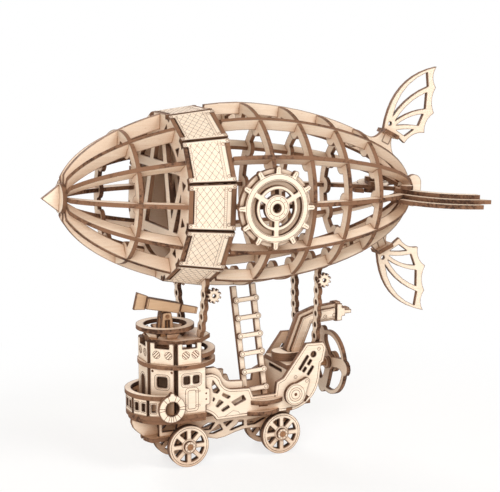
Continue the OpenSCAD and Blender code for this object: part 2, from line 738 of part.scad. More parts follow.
module upper_walls() color(pale) station() for (turn = [180:45:360]) tower_wall(turn, upper_z) {
    translate([-wall_w / 2, 0]) square([wall_w, wall_upper_h]);
    for (x = [-wall_w / 2, wall_w / 2 - merlon_w]) translate([x, wall_upper_h - ply])
        square([merlon_w, merlon_h + ply]);
}

module roof_plate() color(brown) station() level(roof_z) translate([tower_s, 0])
    rotate(22.5) circle((tower_ap - ply - kerf) / cos(22.5), $fn = 8);

nest_foot_r = 9;
nest_lean = 32;
nest_foot_half = 2.4;
nest_head_half = 3.4;

module nest_brackets() color(pale) station() translate([nest_s, 0, roof_top]) for (turn = [0:60:300])
    rotate([0, 0, turn])
    translate([0, -nest_foot_r, 0]) rotate([nest_lean, 0, 0]) upright(0) {
        slant = (nest_h - ply * sin(nest_lean)) / cos(nest_lean);
        polygon([[-nest_foot_half, 0], [nest_foot_half, 0], [nest_head_half, slant], [-nest_head_half,
            slant]]);
    }

module nest_ring() color(brown) station() level(nest_z) translate([nest_s, 0]) difference() {
    circle(nest_r);
    circle(nest_r - nest_w);
}

// Telescope on its two-cheek stand
module scope_stand() color(tan_wood) station() both_sides() upright(-1.5 * ply - side_gap)
    translate([nest_s, 0])
    difference() {
        union() {
            polygon([[-stand_foot, roof_top], [stand_foot, roof_top], [stand_head_r, scope_pin_z],
                [-stand_head_r, scope_pin_z]]);
            translate([0, scope_pin_z]) circle(stand_head_r);
        }
        translate([0, scope_pin_z]) circle(scope_pin_r + pin_gap);
        translate([-ply / 2, roof_top + ply]) square([ply, scope_pin_h / 2]);
    }

// Upper half of the telescope's outline, from the mouth to the eyepiece
scope_edge = [[-scope_front - scope_bell_len, scope_bell_r], [-scope_front, scope_tube_r + scope_step],
    [-scope_front, scope_tube_r], [scope_back, scope_tube_r * scope_taper], [scope_back, scope_eye_r],
    [scope_eye_end, scope_eye_r]];

module scope_shape() translate([0, scope_axis_h])
    polygon(concat(scope_edge, reversed([for (p = scope_edge) [p[0], -p[1]]])));

module telescope() color(tan_wood) station() translate([nest_s, 0, scope_pin_z]) rotate([0,
    scope_tilt, 0]) {
    upright(-ply / 2) difference() {
        union() {
            scope_shape();
            translate([-stand_head_r, 0]) square([2 * stand_head_r, scope_axis_h]);
            circle(stand_head_r);
        }
        circle(scope_pin_r);
    }
    for (y = [-1.5 * ply, ply / 2]) upright(y) scope_shape();
}

module scope_pin() color(brown) station() translate([nest_s, 0, scope_pin_z])
    rotate([90, 0, 0]) cylinder(h = 3 * ply + 4 * side_gap, r = scope_pin_r, center = true);

// Bow rail and lifebuoy
rail_panel_w = 8;

module rail_panels() color(pale) station() translate([bow_s, 0, deck_top]) for (turn = [-150:30:-30])
    rotate([0, 0, turn]) upright(-bow_r + ply / 4) difference() {
        translate([-rail_panel_w / 2, 0]) square([rail_panel_w, rail_h - ply]);
        for (x = [-1, 1]) translate([x * rail_panel_w / 4, (rail_h - ply) / 2])
            square([rail_panel_w / 4, rail_h / 2.6], center = true);
    }

module bow_rail() color(brown) station() level(deck_top + rail_h - ply) difference() {
    translate([bow_s, 0]) circle(bow_r + ply / 4);
    translate([bow_s, 0]) circle(bow_r + ply / 4 - rail_w);
    translate([bow_s - ply, -2 * bow_r]) square([2 * bow_r, 4 * bow_r]);
}

module lifebuoy() color(pale) station() upright(-bow_r - 1.25 * ply - kerf)
    translate([bow_s - 3.5, deck_top + rail_h - ply - buoy_hole_r]) difference() {
        union() {
            circle(buoy_r);
            translate([0, buoy_r]) circle(ply * 0.6);
        }
        circle(buoy_hole_r);
    }

// Side plates with their lattice, vents and covers
quarter = [[115, 39], [127.2, quarter_z], [136.5, quarter_z - 0.3], [138.1, 51.8], [136.6, 45],
    [135.4, 44.2], [134.5, 36.8]];
quarter_foot = [121, side_bottom];
side_notch = [6.6, 5];
lattice = [[[77.5, 42.4], [81.1, 36.9], [79.9, 35.6], [77.9, 36.3], [77.1, 39]],
    [[77.7, 33.9], [78.6, 33.2], [78, 31.9], [77.5, 32.1]], [[82.8, 35.3], [86.7, 33.3], [85.5, 32.3],
        [82.4, 34.2]],
    [[80.9, 32.3], [83, 30.9], [80.1, 28.7], [79, 29.4]], [[85.4, 29.1], [86.3, 27.9], [82.7, 26.2],
        [81.9, 27.2]],
    [[93.5, 33.1], [94.8, 30.7], [89, 28.4], [87.3, 30.4]]];
vents = [[125.8, 45.5, 8], [129, 45.4, 2.8], [126.3, 42, 2.6], [129.5, 41.2, 5]];
vent_w = 1.4;
vent_turn = 55;
vent_hole = [131.1, 49.2];
vent_hole_r = 1.5;

module side_shape() difference() {
    polygon(concat([[side_s, side_bottom + side_notch[1]], [side_s, side_top], [side_s + 4.4, side_top]],
        bulge([side_s + 4.4, side_top], [side_s + 9.4, side_top - 5.2], 1.2, short_n),
        bulge([side_s + 9.4, side_top - 5.2], [side_s + 15.4, waist_z + 4.9], -0.9, short_n),
        [[side_s + 15.4, waist_z + 4.9], [waist_s, waist_z + 4.4], [waist_s + 1.6, waist_z],
        [waist_s + waist_len, waist_z], [waist_s + waist_len + 0.8, waist_z + 5.6]], quarter,
        bulge(quarter[6], quarter_foot, 3.2, 2 * short_n), [quarter_foot],
        bulge([side_s + side_notch[0], side_bottom], [side_s, side_bottom + side_notch[1]], -0.9,
            short_n)));
    for (w = lattice) polygon(w);
    for (v = vents) translate([v[0], v[1]]) rotate(vent_turn) square([v[2], vent_w], center = true);
    translate(vent_hole) circle(vent_hole_r);
}

module port_side() color(pale) station() upright(-side_out) side_shape();
module starboard_side() color(pale) station() mirror([0, 1, 0]) upright(-side_out) side_shape();

// Raised inner rail along the front of each side plate
gunwale_rise = 2.6;
gunwale_d = 4.6;
gunwale_end_s = 94;

function gunwale_edge(drop) = concat([[side_s, side_top + gunwale_rise - drop]],
    bulge([side_s + 6.6, side_top + gunwale_rise - drop], [side_s + 10.6, side_top - 2.4 - drop], 0.8,
        short_n),
    bulge([side_s + 10.6, side_top - 2.4 - drop], [side_s + 15.6, waist_z + 8.4 - drop], -0.8, short_n),
    [[side_s + 15.6, waist_z + 8.4 - drop], [gunwale_end_s, waist_z + 8 - drop]]);

module gunwales() color(tan_wood) station() both_sides() upright(-side_y + kerf)
    polygon(concat(gunwale_edge(0), reversed(gunwale_edge(gunwale_d))));

module step_shape() polygon(concat([[waist_s + 1.5, 0], [waist_s + 1.5 + step_len, 0]],
    bulge([waist_s + 1.5 + step_len, -step_reach / 2], [waist_s + 1.5, -step_reach], -step_reach / 2,
        2 * short_n),
    [[waist_s + 1.5, -step_reach]]));

module footboards() color(brown) station() both_sides() translate([0, -side_out, 0]) {
    level(waist_z - 2 * ply) step_shape();
    level(side_bottom) step_shape();
}

module side_covers() color(pale) station() both_sides() upright(-side_out - ply) {
    translate(cover_at) circle(cover_r);
    translate(cover_at + [6, 6.2]) circle(1.6);
    polygon([cover_at + [-3.9, 3.9], cover_at + [5.2, 7.5], cover_at + [7.4, 5.4], cover_at + [5, -2]]);
}

// Seat, stern gun, frame and screw
module seat_outline() difference() {
    union() {
        translate([gun_foot_s - ply, 0]) circle(seat_r);
        translate([gun_foot_s - ply, -seat_r]) square([gun_foot_w + ply, 2 * seat_r]);
    }
    translate([gun_foot_s - ply, -2 * ply - kerf]) square([2 * gun_foot_w, 2 * (2 * ply + kerf)]);
}

module seat_plates() color(brown) station() {
    wide = side_y - kerf;
    for (i = [1, 2]) level(seat_z + i * (ply + kerf)) seat_outline();
    level(seat_z) translate([seat_s, -wide]) square([gun_foot_s - kerf - seat_s, 2 * wide]);
    translate([0, 0, deck_z]) across(seat_s) difference() {
        translate([-wide, 0]) square([2 * wide, seat_z - deck_z - kerf]);
        translate([0, seat_z - deck_z - ply]) rounded_window(seat_slot_w, seat_slot_h, seat_slot_h / 3);
    }
}

gun_end_s = 149.6;
gun_z = 66.1;
gun_inset = 0.6;

// Barrel's half height, then places of the gun's back from the top of its foot
barrel_r = 4.2;
gun_back = [[7.1, 3.7], [12.1, 15.3]];
gun_front = [[14, 23.4], [5.3, 20.6], [-1.8, 3.6]];

module gun_shape(inset) {
    foot = [gun_foot_s, gun_knee_z];
    polygon([[gun_foot_s, deck_z], [gun_foot_s + gun_foot_w, deck_z], foot + [gun_foot_w, 0],
        foot + gun_back[0] - [inset, 0], foot + gun_back[1] + [-inset, inset],
        [gun_end_s, gun_z - barrel_r + inset], [gun_end_s, gun_z + barrel_r - inset],
        foot + gun_front[0] - [0, inset], foot + gun_front[1] - [0, inset],
            foot + gun_front[2] + [inset, 0],
        foot]);
}

module gun_layers() color(tan_wood) station() {
    upright(-ply, 2 * ply) gun_shape(0);
    both_sides() upright(-2 * ply) gun_shape(gun_inset);
}

// Muzzle outline behind the barrel: collar, ring and pipe, each as station of its end and half height
muzzle = [[gun_end_s + 2.8, 4.9], [gun_end_s + 4.5, 2.7], [gun_end_s + 8, 1.5]];

module muzzle_shape(inset) for (i = [0:2]) {
    start = i == 0 ? gun_end_s + kerf : muzzle[i - 1][0] - ply / 4;
    half = muzzle[i][1] - inset;
    translate([start, gun_z - half]) square([muzzle[i][0] - start, 2 * half]);
}

module gun_muzzle() color(pale) station() {
    upright(-ply, 2 * ply) muzzle_shape(0);
    both_sides() upright(-2 * ply) muzzle_shape(gun_inset);
}

frame_low_z = 35;
frame_top_z = 46;

module stern_frame() color(tan_wood) station() across(frame_s) difference() {
    translate([-side_y + kerf, frame_low_z]) square([2 * (side_y - kerf), frame_top_z - frame_low_z]);
    translate([0, screw_z]) circle(shaft_r + pin_gap);
    for (y = [-1, 1]) translate([y * side_y / 1.8, screw_z]) circle(1.5 * ply);
}

module screw_blade() polygon([[-1.2, 2], [-4.2, 8], [-5, screw_r - 3], [-3.6, screw_r + 0.4], [3.6,
    screw_r + 0.4],
    [5, screw_r - 3], [4.2, 8], [1.2, 2]]);

module screw() color(tan_wood) station() translate([0, 0, screw_z]) {
    across(screw_s) difference() {
        union() {
            difference() {
                circle(screw_r);
                circle(screw_r - hoop_w);
            }
            for (turn = [30, 150, 270]) rotate(turn) translate([-hoop_w / 2, 0]) square([hoop_w,
                screw_r - hoop_w / 2]);
            circle(2.6 * shaft_r);
        }
        circle(shaft_r);
    }
    across(screw_s + ply) difference() {
        union() {
            for (turn = [90, 210, 330]) rotate(turn) screw_blade();
            circle(2.6 * shaft_r);
        }
        circle(shaft_r);
    }
    across(screw_s - ply) difference() {
        circle(2 * shaft_r);
        circle(shaft_r);
    }
}

module screw_shaft() color(brown) station() translate([0, 0, screw_z]) rotate([0, 90, 0]) {
    translate([0, 0, frame_s - side_gap - ply / 2]) cylinder(h = ply / 2, r = 1.8 * shaft_r);
    translate([0, 0, frame_s - side_gap - ply / 2])
        cylinder(h = screw_s + 2.5 * ply - frame_s + side_gap + ply / 2, r = shaft_r);
}

// Ladder between the floor and the hull, hangers with toothed discs
ladder_foot = [ladder_foot_s, -ladder_foot_y, deck_z + ply / 8];
ladder_head = hull_pt(ladder_head_s, 6) - [0, 0, ply / 4];

// Stands a plate drawn in X and Z on foot, leaning so that its Z runs to head
module leaning(foot, head) {
    v = head - foot;
    rise = norm([v[1], v[2]]);
    translate(foot) rotate([atan2(-v[1], v[2]), 0, 0]) rotate([0, atan2(v[0], rise), 0]) children();
}

ladder_len = norm(ladder_head - ladder_foot);
rung_n = 6;
boss_r = 1.6;

module ladder_rails() color(tan_wood) station() difference() {
    leaning(ladder_foot, ladder_head) for (side = [-1, 1])
        upright(-ply / 2) translate([side * ladder_w / 2 - ladder_rail_w / 2, 0])
            square([ladder_rail_w, ladder_len]);
    translate([ladder_foot_s - ladder_w, -side_y, floor_z]) cube([2 * ladder_w, side_y, ply]);
}

module ladder_rungs() color(pale) station() leaning(ladder_foot, ladder_head) for (i = [0:rung_n - 1])
    upright(-1.5 * ply) translate([0, ladder_len - rung_pitch * (rung_n - i - 0.2)]) {
        square([ladder_w, 0.8 * ladder_rail_w], center = true);
        for (side = [-1, 1]) translate([side * ladder_w / 2, 0]) circle(boss_r);
    }

// Chain of links cut from one plate, from a foot to a head given as (distance from the middle, height)
chain_sag = -1.6;

function links(foot, head) = floor(norm(head - foot) / link_len);
function chain(foot, head) = concat(bulge(foot, head, chain_sag, links(foot, head)), [head]);

module link_chain(foot, head) {
    n = links(foot, head);
    pts = chain(foot, head);
    difference() {
        union() {
            for (i = [0:n - 1]) translate(pts[i]) rotate(atan2(pts[i + 1][1] - pts[i][1],
                pts[i + 1][0] - pts[i][0]))
                translate([0, -hanger_r * 0.65]) square([norm(pts[i + 1] - pts[i]), hanger_r * 1.3]);
            for (i = [1:n]) translate(pts[i]) circle(hanger_r);
        }
        for (i = [1:n - 1]) translate(pts[i]) circle(hanger_r * 0.42);
    }
}

front_foot = [front_foot_y, roof_top];
front_head = [front_head_y, hull_axis_z - band_front_ap];
rear_foot = [rear_foot_y, frame_top_z];
hanger_lap = 3.7;
rear_head = [rear_head_y, hull_pt(rear_former_3_s, 6)[2] + hanger_lap];

module front_hangers() both_sides() difference() {
    station() across(front_hanger_s) link_chain(front_foot, front_head);
    in_hull() rotate([sector * 7, 0, 0]) translate([band_s, 0, band_front_ap + kerf])
        rotate([0, -panel_tilt, 0]) translate([0, -hull_r, -hull_r])
        cube([2 * band_len, 2 * hull_r, hull_r]);
    station() translate([front_hanger_s - ply, 0, roof_z]) cube([3 * ply, 2 * front_foot_y, ply]);
}

module rear_hangers() difference() {
    station() both_sides() across(frame_s) link_chain(rear_foot, rear_head);
    in_hull() translate([rear_former_3_s - kerf, -hull_r, -hull_r]) cube(2 * hull_r);
    station() translate([frame_s - ply, -side_y, frame_low_z])
        cube([3 * ply, 2 * side_y, frame_top_z - frame_low_z]);
}

module hangers() color(tan_wood) {
    front_hangers();
    rear_hangers();
}

module gear_shape() difference() {
    union() {
        circle(gear_r * 0.74);
        for (i = [0:gear_teeth - 1]) rotate(360 / gear_teeth * i) translate([-gear_r / 8, 0])
            square([gear_r / 4, gear_r]);
    }
    circle(gear_r * 0.25);
}

// Toothed disc against the outer edge of a chain's last link but one
module hanger_gear(foot, head, s) {
    link = chain(foot, head)[links(foot, head) - 1];
    upright(-link[0] - hanger_r - ply - kerf) translate([s, link[1]]) gear_shape();
}

module hanger_gears() color(pale) station() both_sides() {
    hanger_gear(front_foot, front_head, front_hanger_s + gear_r);
    hanger_gear(rear_foot, rear_head, frame_s + ply);
}

// Wheels and axles
spoke_n = 10;
wheel_rim_w = 2;
wheel_hub_r = 3.4;
spoke_w = 1.3;

module wheel() {
    upright(-wheel_y, wheel_t) difference() {
        circle(wheel_r);
        difference() {
            circle(wheel_r - wheel_rim_w);
            circle(wheel_hub_r);
            for (i = [0:spoke_n - 1]) rotate(360 / spoke_n * i) translate([-spoke_w / 2, 0])
                square([spoke_w, wheel_r - wheel_rim_w / 2]);
        }
        circle(axle_r);
    }
    upright(-wheel_y - ply / 2, ply / 2) difference() {
        circle(wheel_hub_r);
        circle(axle_r);
    }
    upright(-wheel_y + wheel_t, wheel_y - wheel_t - chassis_out - side_gap) difference() {
        circle(1.7 * axle_r);
        circle(axle_r);
    }
}

module axle(s) station() translate([s, 0, wheel_r]) rotate([90, 0, 0])
    cylinder(h = 2 * wheel_y + 1.5 * ply, r = axle_r, center = true);
module wheel_pair(s) station() both_sides() translate([s, 0, wheel_r]) wheel();

module front_axle() color(brown) axle(front_axle_s);
module front_wheels() color(pale) wheel_pair(front_axle_s);
module rear_axle() color(brown) axle(rear_axle_s);
module rear_wheels() color(pale) wheel_pair(rear_axle_s);

nose_plate();
nose_disc();
front_longerons();
front_former();
front_bulkhead();
rear_bulkhead();
band_panels();
rear_longerons();
post_longerons();
rear_former_1();
rear_former_2();
rear_former_3();
rear_former_4();
tail_disc();
tail_post();
fins();
fin_collars();
tail_wings();
wing_strips();
wing_clamps();
medallions();
medallion_backs();
floor_plate();
bow_deck();
bow_keel();
bow_rib();
chassis_plates();
lower_walls();
balcony_plate();
gallery_rail();
upper_walls();
roof_plate();
nest_brackets();
nest_ring();
scope_stand();
telescope();
scope_pin();
rail_panels();
bow_rail();
lifebuoy();
port_side();
starboard_side();
gunwales();
footboards();
side_covers();
seat_plates();
gun_layers();
gun_muzzle();
stern_frame();
ladder_rails();
ladder_rungs();
hangers();
hanger_gears();
front_axle();
front_wheels();
rear_axle();
rear_wheels();
screw();
screw_shaft();
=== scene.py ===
import math

import bmesh
import bpy
from mathutils import Matrix, Vector


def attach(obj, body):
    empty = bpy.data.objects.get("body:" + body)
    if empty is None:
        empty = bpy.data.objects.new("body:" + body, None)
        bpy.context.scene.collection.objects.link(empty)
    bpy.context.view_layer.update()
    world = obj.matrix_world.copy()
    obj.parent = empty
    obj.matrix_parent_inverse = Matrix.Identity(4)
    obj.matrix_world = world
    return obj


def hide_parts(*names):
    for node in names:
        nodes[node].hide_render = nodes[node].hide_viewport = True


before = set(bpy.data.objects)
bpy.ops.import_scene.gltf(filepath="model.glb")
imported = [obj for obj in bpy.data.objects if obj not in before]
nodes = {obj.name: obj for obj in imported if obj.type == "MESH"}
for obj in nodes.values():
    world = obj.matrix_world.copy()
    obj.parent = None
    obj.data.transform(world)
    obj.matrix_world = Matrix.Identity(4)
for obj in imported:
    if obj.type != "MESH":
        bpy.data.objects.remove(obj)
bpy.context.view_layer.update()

# Sizes repeated from the part's source, in millimetres. Stations run aft from the nose tip.
HALF_LEN = 105.0
PLY = 2.0
HULL_AXIS_Z, PITCH_S, HULL_PITCH = 129.2, 75.4, 2.33
PANELS, BAND_S, BAND_LEN, BAND_FRONT_AP, BAND_REAR_AP = 12, 56.1, 21.7, 38.64, 41.71
TOWER_S, TOWER_AP, DECK_TOP, UPPER_Z, ROOF_TOP = 64.8, 17.0, 28.0, 52.0, 63.2
WINDOW_Z, DOOR_W, DOOR_H = 16.5, 4.6, 13.0
BOW_S, BOW_R, RAIL_H = 58.0, 18.0, 10.0
SIDE_OUT, COVER_AT, GUN_OUT = 14.6, (120.6, 30.6), 4.0
WHEEL_R, WHEEL_T, WHEEL_Y, FRONT_AXLE_S, REAR_AXLE_S = 10.2, 3.0, 11.6, 66.4, 115.4
AXLE_R, CAP_T, CHASSIS_OUT = 1.5, 1.5, 6.4
KNOBS, MEDAL_S, MEDAL_Y = 12, 95.0, 48.05
SCOPE_S, SCOPE_Z, SCOPE_TILT, SCOPE_AXIS = 59.2, 72.7, 13.3, 4.6
SCREW_S, SCREW_Z, SHAFT_R = 147.3, 40.0, 1.5
LADDER_FOOT, LADDER_HEAD = (102.3, -9.8, 26.25), (99.6, 0.0, 83.87)
LADDER_W, RUNGS, RUNG_PITCH, TOP_RUNG = 10.3, 6, 8.7, 0.8

# Sizes of the patterns in the materials, in metres
STREAK_W, STREAK_LEN, SHEET_TONE = 0.0009, 0.026, 0.045
FLECK_W, FLECK_LEN = 0.0004, 0.0024
# How wide the scorched border is, and how far the painted shade in shut-in places reaches
SCORCH_REACH, PAINTED_SHADE_REACH = 0.0006, 0.02
CHAR, CHAR_DRIFT, PASS_LEN = 0.0016, 0.018, 0.003
DOWEL_GRAIN_W, DOWEL_GRAIN_LEN = 0.0005, 0.015
GRAIN_DEPTH, CHAR_DEPTH = 0.00005, 0.00006


# Colours are written as sRGB hex and turned to linear here
def srgb(code):
    parts = [int(code[i:i + 2], 16) / 255 for i in (0, 2, 4)]
    return tuple(c / 12.92 if c <= 0.04045 else ((c + 0.055) / 1.055) ** 2.4 for c in parts) + (1.0,)


# Adds one node with its settings and the stops of its colour ramp. An input given as a socket is linked,
# anything else is set.
def node(tree, kind, inputs=None, stops=(), **settings):
    made = tree.nodes.new(kind)
    for name, value in settings.items():
        setattr(made, name, value)
    for i, (position, code) in enumerate(stops):
        made.color_ramp.elements[i].position = position
        made.color_ramp.elements[i].color = srgb(code)
    for key, value in (inputs or {}).items():
        if isinstance(value, bpy.types.NodeSocket):
            tree.links.new(value, made.inputs[key])
        else:
            made.inputs[key].default_value = value
    return made


def new_material(name):
    made = bpy.data.materials.new(name)
    made.use_nodes = True
    made.node_tree.nodes.clear()
    return made, made.node_tree


# Scale of a pattern that has one size across the grain and another along it
def grain_scale(along, wide, long):
    scale = [1 / wide] * 3
    scale[along] = 1 / long
    return scale


# Painted shade: darkens a surface where other parts shut it in, most of it deep inside, none in the open
def painted_shade(tree, most):
    shut = node(tree, "ShaderNodeAmbientOcclusion", {"Distance": PAINTED_SHADE_REACH}, samples=6)
    return node(tree, "ShaderNodeMapRange", {
        "Value": shut.outputs["AO"], "From Min": 0.2, "From Max": 0.85, "To Min": most,
        "To Max": 0.0}).outputs[0]


# Sliced birch veneer, sanded: pale cream with faint long streaks, short darker ray flecks, a border
# about 0.3 mm wide along every cut that the laser scorched brown, and painted shade that turns it tan where
# it is shut in
def birch_face(name, along, tones=("E9D2B8", "F6E8D6", "F1DEC9")):
    made, tree = new_material(name)
    place = node(tree, "ShaderNodeTexCoord").outputs["Object"]
    streak_at = node(tree, "ShaderNodeMapping", {
        "Vector": place, "Scale": grain_scale(along, STREAK_W, STREAK_LEN)})
    streak = node(tree, "ShaderNodeTexNoise", {
        "Vector": streak_at.outputs[0], "Scale": 1.0, "Detail": 3.0, "Roughness": 0.55})
    pale = node(tree, "ShaderNodeValToRGB", {"Fac": streak.outputs["Fac"]},
                stops=((0.3, tones[0]), (0.68, tones[1])))
    sheet_tone = node(tree, "ShaderNodeTexNoise", {"Vector": place, "Scale": 1 / SHEET_TONE, "Detail": 1.0})
    warm = node(tree, "ShaderNodeMix", {
        "Factor": sheet_tone.outputs["Fac"], "A": srgb(tones[2]), "B": pale.outputs["Color"]},
        data_type="RGBA")
    fleck_at = node(tree, "ShaderNodeMapping", {
        "Vector": place, "Scale": grain_scale(along, FLECK_W, FLECK_LEN)})
    fleck = node(tree, "ShaderNodeTexNoise", {"Vector": fleck_at.outputs[0], "Scale": 1.0, "Detail": 2.0})
    flecked = node(tree, "ShaderNodeMapRange", {
        "Value": fleck.outputs["Fac"], "From Min": 0.62, "From Max": 0.78, "To Max": 0.4})
    border = node(tree, "ShaderNodeAmbientOcclusion", {"Distance": SCORCH_REACH}, inside=True,
                  only_local=True, samples=8)
    scorched = node(tree, "ShaderNodeMapRange", {
        "Value": border.outputs["AO"], "From Min": 0.55, "From Max": 0.97, "To Min": 0.95, "To Max": 0.0})
    tint = warm.outputs["Result"]
    # Flecks, the scorched border, and painted shade that turns the face tan where other parts shut it in
    for share, code in ((flecked.outputs[0], "C79F72"), (scorched.outputs[0], "5E3E2C"),
                        (painted_shade(tree, 0.85), "A87850")):
        tint = node(tree, "ShaderNodeMix", {"Factor": share, "A": tint, "B": srgb(code)},
                    data_type="RGBA").outputs["Result"]
    dull = node(tree, "ShaderNodeMapRange", {
        "Value": streak.outputs["Fac"], "To Min": 0.46, "To Max": 0.62})
    relief = node(tree, "ShaderNodeBump", {
        "Height": streak.outputs["Fac"], "Strength": 0.12, "Distance": GRAIN_DEPTH})
    wood = node(tree, "ShaderNodeBsdfPrincipled", {
        "Base Color": tint, "Roughness": dull.outputs[0], "Normal": relief.outputs[0], "IOR": 1.47,
        "Specular IOR Level": 0.4})
    node(tree, "ShaderNodeOutputMaterial", {"Surface": wood.outputs[0]})
    return made


# Edge of birch plywood cut by laser: charred brown, lighter where the beam left the glue lines clean,
# with painted shade that turns it near black where it is shut in
def burnt_edge():
    made, tree = new_material("birch_ply_laser_cut_edge")
    place = node(tree, "ShaderNodeTexCoord").outputs["Object"]
    char = node(tree, "ShaderNodeTexNoise", {
        "Vector": place, "Scale": 1 / CHAR, "Detail": 4.0, "Roughness": 0.6})
    drift = node(tree, "ShaderNodeTexNoise", {"Vector": place, "Scale": 1 / CHAR_DRIFT, "Detail": 1.0})
    both = node(tree, "ShaderNodeMath", {0: char.outputs["Fac"], 1: drift.outputs["Fac"]}, operation="ADD")
    brown = node(tree, "ShaderNodeValToRGB", {"Fac": both.outputs[0]},
                 stops=((0.75, "432A1C"), (1.25, "846048")))
    # Painted shade: near black where other parts shut the edge in
    tint = node(tree, "ShaderNodeMix", {
        "Factor": painted_shade(tree, 0.9), "A": brown.outputs["Color"], "B": srgb("2E1A10")}, data_type="RGBA")
    relief = node(tree, "ShaderNodeBump", {
        "Height": char.outputs["Fac"], "Strength": 0.2, "Distance": CHAR_DEPTH})
    wood = node(tree, "ShaderNodeBsdfPrincipled", {
        "Base Color": tint.outputs["Result"], "Roughness": 0.72, "Normal": relief.outputs[0],
        "Specular IOR Level": 0.25})
    node(tree, "ShaderNodeOutputMaterial", {"Surface": wood.outputs[0]})
    return made


# Turned birch dowel: warm, with fine grain lines along its length
def birch_dowel(name, along):
    made, tree = new_material(name)
    place = node(tree, "ShaderNodeTexCoord").outputs["Object"]
    grain_at = node(tree, "ShaderNodeMapping", {
        "Vector": place, "Scale": grain_scale(along, DOWEL_GRAIN_W, DOWEL_GRAIN_LEN)})
    grain = node(tree, "ShaderNodeTexNoise", {"Vector": grain_at.outputs[0], "Scale": 1.0, "Detail": 3.0})
    tone = node(tree, "ShaderNodeValToRGB", {"Fac": grain.outputs["Fac"]},
                stops=((0.32, "7C5238"), (0.66, "A67B56")))
    relief = node(tree, "ShaderNodeBump", {
        "Height": grain.outputs["Fac"], "Strength": 0.15, "Distance": GRAIN_DEPTH})
    wood = node(tree, "ShaderNodeBsdfPrincipled", {
        "Base Color": tone.outputs["Color"], "Roughness": 0.55, "Normal": relief.outputs[0],
        "Specular IOR Level": 0.35})
    node(tree, "ShaderNodeOutputMaterial", {"Surface": wood.outputs[0]})
    return made


# Line burnt into the veneer by a light pass of the laser: dark brown, a little lighter where the pass
# was quick
def engraved_line():
    made, tree = new_material("birch_laser_engraved_line")
    place = node(tree, "ShaderNodeTexCoord").outputs["Object"]
    pass_tone = node(tree, "ShaderNodeTexNoise", {"Vector": place, "Scale": 1 / PASS_LEN, "Detail": 2.0})
    tone = node(tree, "ShaderNodeValToRGB", {"Fac": pass_tone.outputs["Fac"]},
                stops=((0.3, "4E2F1E"), (0.7, "7A5238")))
    wood = node(tree, "ShaderNodeBsdfPrincipled", {
        "Base Color": tone.outputs["Color"], "Roughness": 0.8, "Specular IOR Level": 0.2})
    node(tree, "ShaderNodeOutputMaterial", {"Surface": wood.outputs[0]})
    return made


FACE_LONG = birch_face("birch_veneer_sanded_grain_along", 0)
FACE_CROSS = birch_face("birch_veneer_sanded_grain_across", 1)
# A darker, tan copy of the veneer that paints the shade under the hull onto the telescope and its stand
FACE_PAINTED_SHADE = birch_face("birch_veneer_painted_shade_under_hull", 0, ("C9A683", "DBBB99", "D2B08E"))
EDGE = burnt_edge()
ENGRAVED = engraved_line()
DOWEL_ACROSS = birch_dowel("birch_dowel_turned_across", 1)
DOWEL_ALONG = birch_dowel("birch_dowel_turned_along", 0)

# Places of a plate's three materials in its list
ALONG, ACROSS, CUT = range(3)


def corner_key(co):
    return (round(co.x * 1e6), round(co.y * 1e6), round(co.z * 1e6))


# Gives a plate's two broad sides the veneer and all its cut sides the burnt edge. A node may hold
# several plates, so each loose solid is looked at by itself, unless its layers all lie one way.
def dress_plates(obj, lie=None, face=FACE_LONG):
    mesh = obj.data
    mesh.materials.clear()
    for made in (face, FACE_CROSS, EDGE):
        mesh.materials.append(made)
    keys = [corner_key(v.co) for v in mesh.vertices]
    root = {k: k for k in keys}

    def find(k):
        while root[k] != k:
            root[k] = root[root[k]]
            k = root[k]
        return k

    for poly in mesh.polygons:
        first = find(keys[poly.vertices[0]])
        for v in poly.vertices[1:]:
            root[find(keys[v])] = first
    area = {}
    owner = []
    for poly in mesh.polygons:
        solid = find(keys[poly.vertices[0]])
        owner.append(solid)
        normal = tuple(round(c, 2) for c in poly.normal)
        sign = 1 if normal >= (0, 0, 0) else -1
        way = tuple(sign * c + 0.0 for c in normal)
        ways = area.setdefault(solid, {})
        ways[way] = ways.get(way, 0.0) + poly.area
    broad = {solid: Vector(max(ways, key=ways.get)).normalized() for solid, ways in area.items()}
    for poly, solid in zip(mesh.polygons, owner):
        way = lie or broad[solid]
        if abs(poly.normal.dot(way)) < 0.94:
            poly.material_index = CUT
        else:
            poly.material_index = ACROSS if abs(way.x) > 0.8 else ALONG


DOWELS = {"front_axle": DOWEL_ACROSS, "rear_axle": DOWEL_ACROSS, "scope_pin": DOWEL_ACROSS,
          "screw_shaft": DOWEL_ALONG}
for name, obj in nodes.items():
    if name in DOWELS:
        obj.data.materials.clear()
        obj.data.materials.append(DOWELS[name])
    else:
        dress_plates(obj, Vector((0, 1, 0)) if name == "gun_muzzle" else None)

# How far the middle of a ridge or a dome lies below the plate, as a share of its own half width
RIDGE_SINK, DOME_SINK = 0.35, 0.6


# Marks burnt into the plates: strokes and dots collected for one body, in millimetres
class Marks:
    def __init__(self):
        self.points, self.edges, self.widths, self.dots = [], [], [], []

    # A stroke along points of a sheet; it is partly sunk, so that only a thin ridge shows
    def stroke(self, sheet, path, width=0.3, closed=False):
        half = width / 2
        first = len(self.points)
        for u, v in path:
            self.points.append(sheet @ Vector((u, v, -RIDGE_SINK * half)))
            self.widths.append(half)
            self.dots.append(False)
        last = len(self.points) - 1
        self.edges += [(i, i + 1) for i in range(first, last)]
        if closed:
            self.edges.append((last, first))

    def dot(self, sheet, u, v, r=0.3):
        self.points.append(sheet @ Vector((u, v, -DOME_SINK * r)))
        self.widths.append(r)
        self.dots.append(True)

    def ring(self, sheet, u, v, r, width=0.3, n=28):
        self.stroke(sheet, circle(u, v, r, n), width, True)

    # A burnt bolt head: a ring with a dot in its middle
    def bolt(self, sheet, u, v, r):
        self.ring(sheet, u, v, r, 0.28, 14)
        self.dot(sheet, u, v, 0.35 * r)


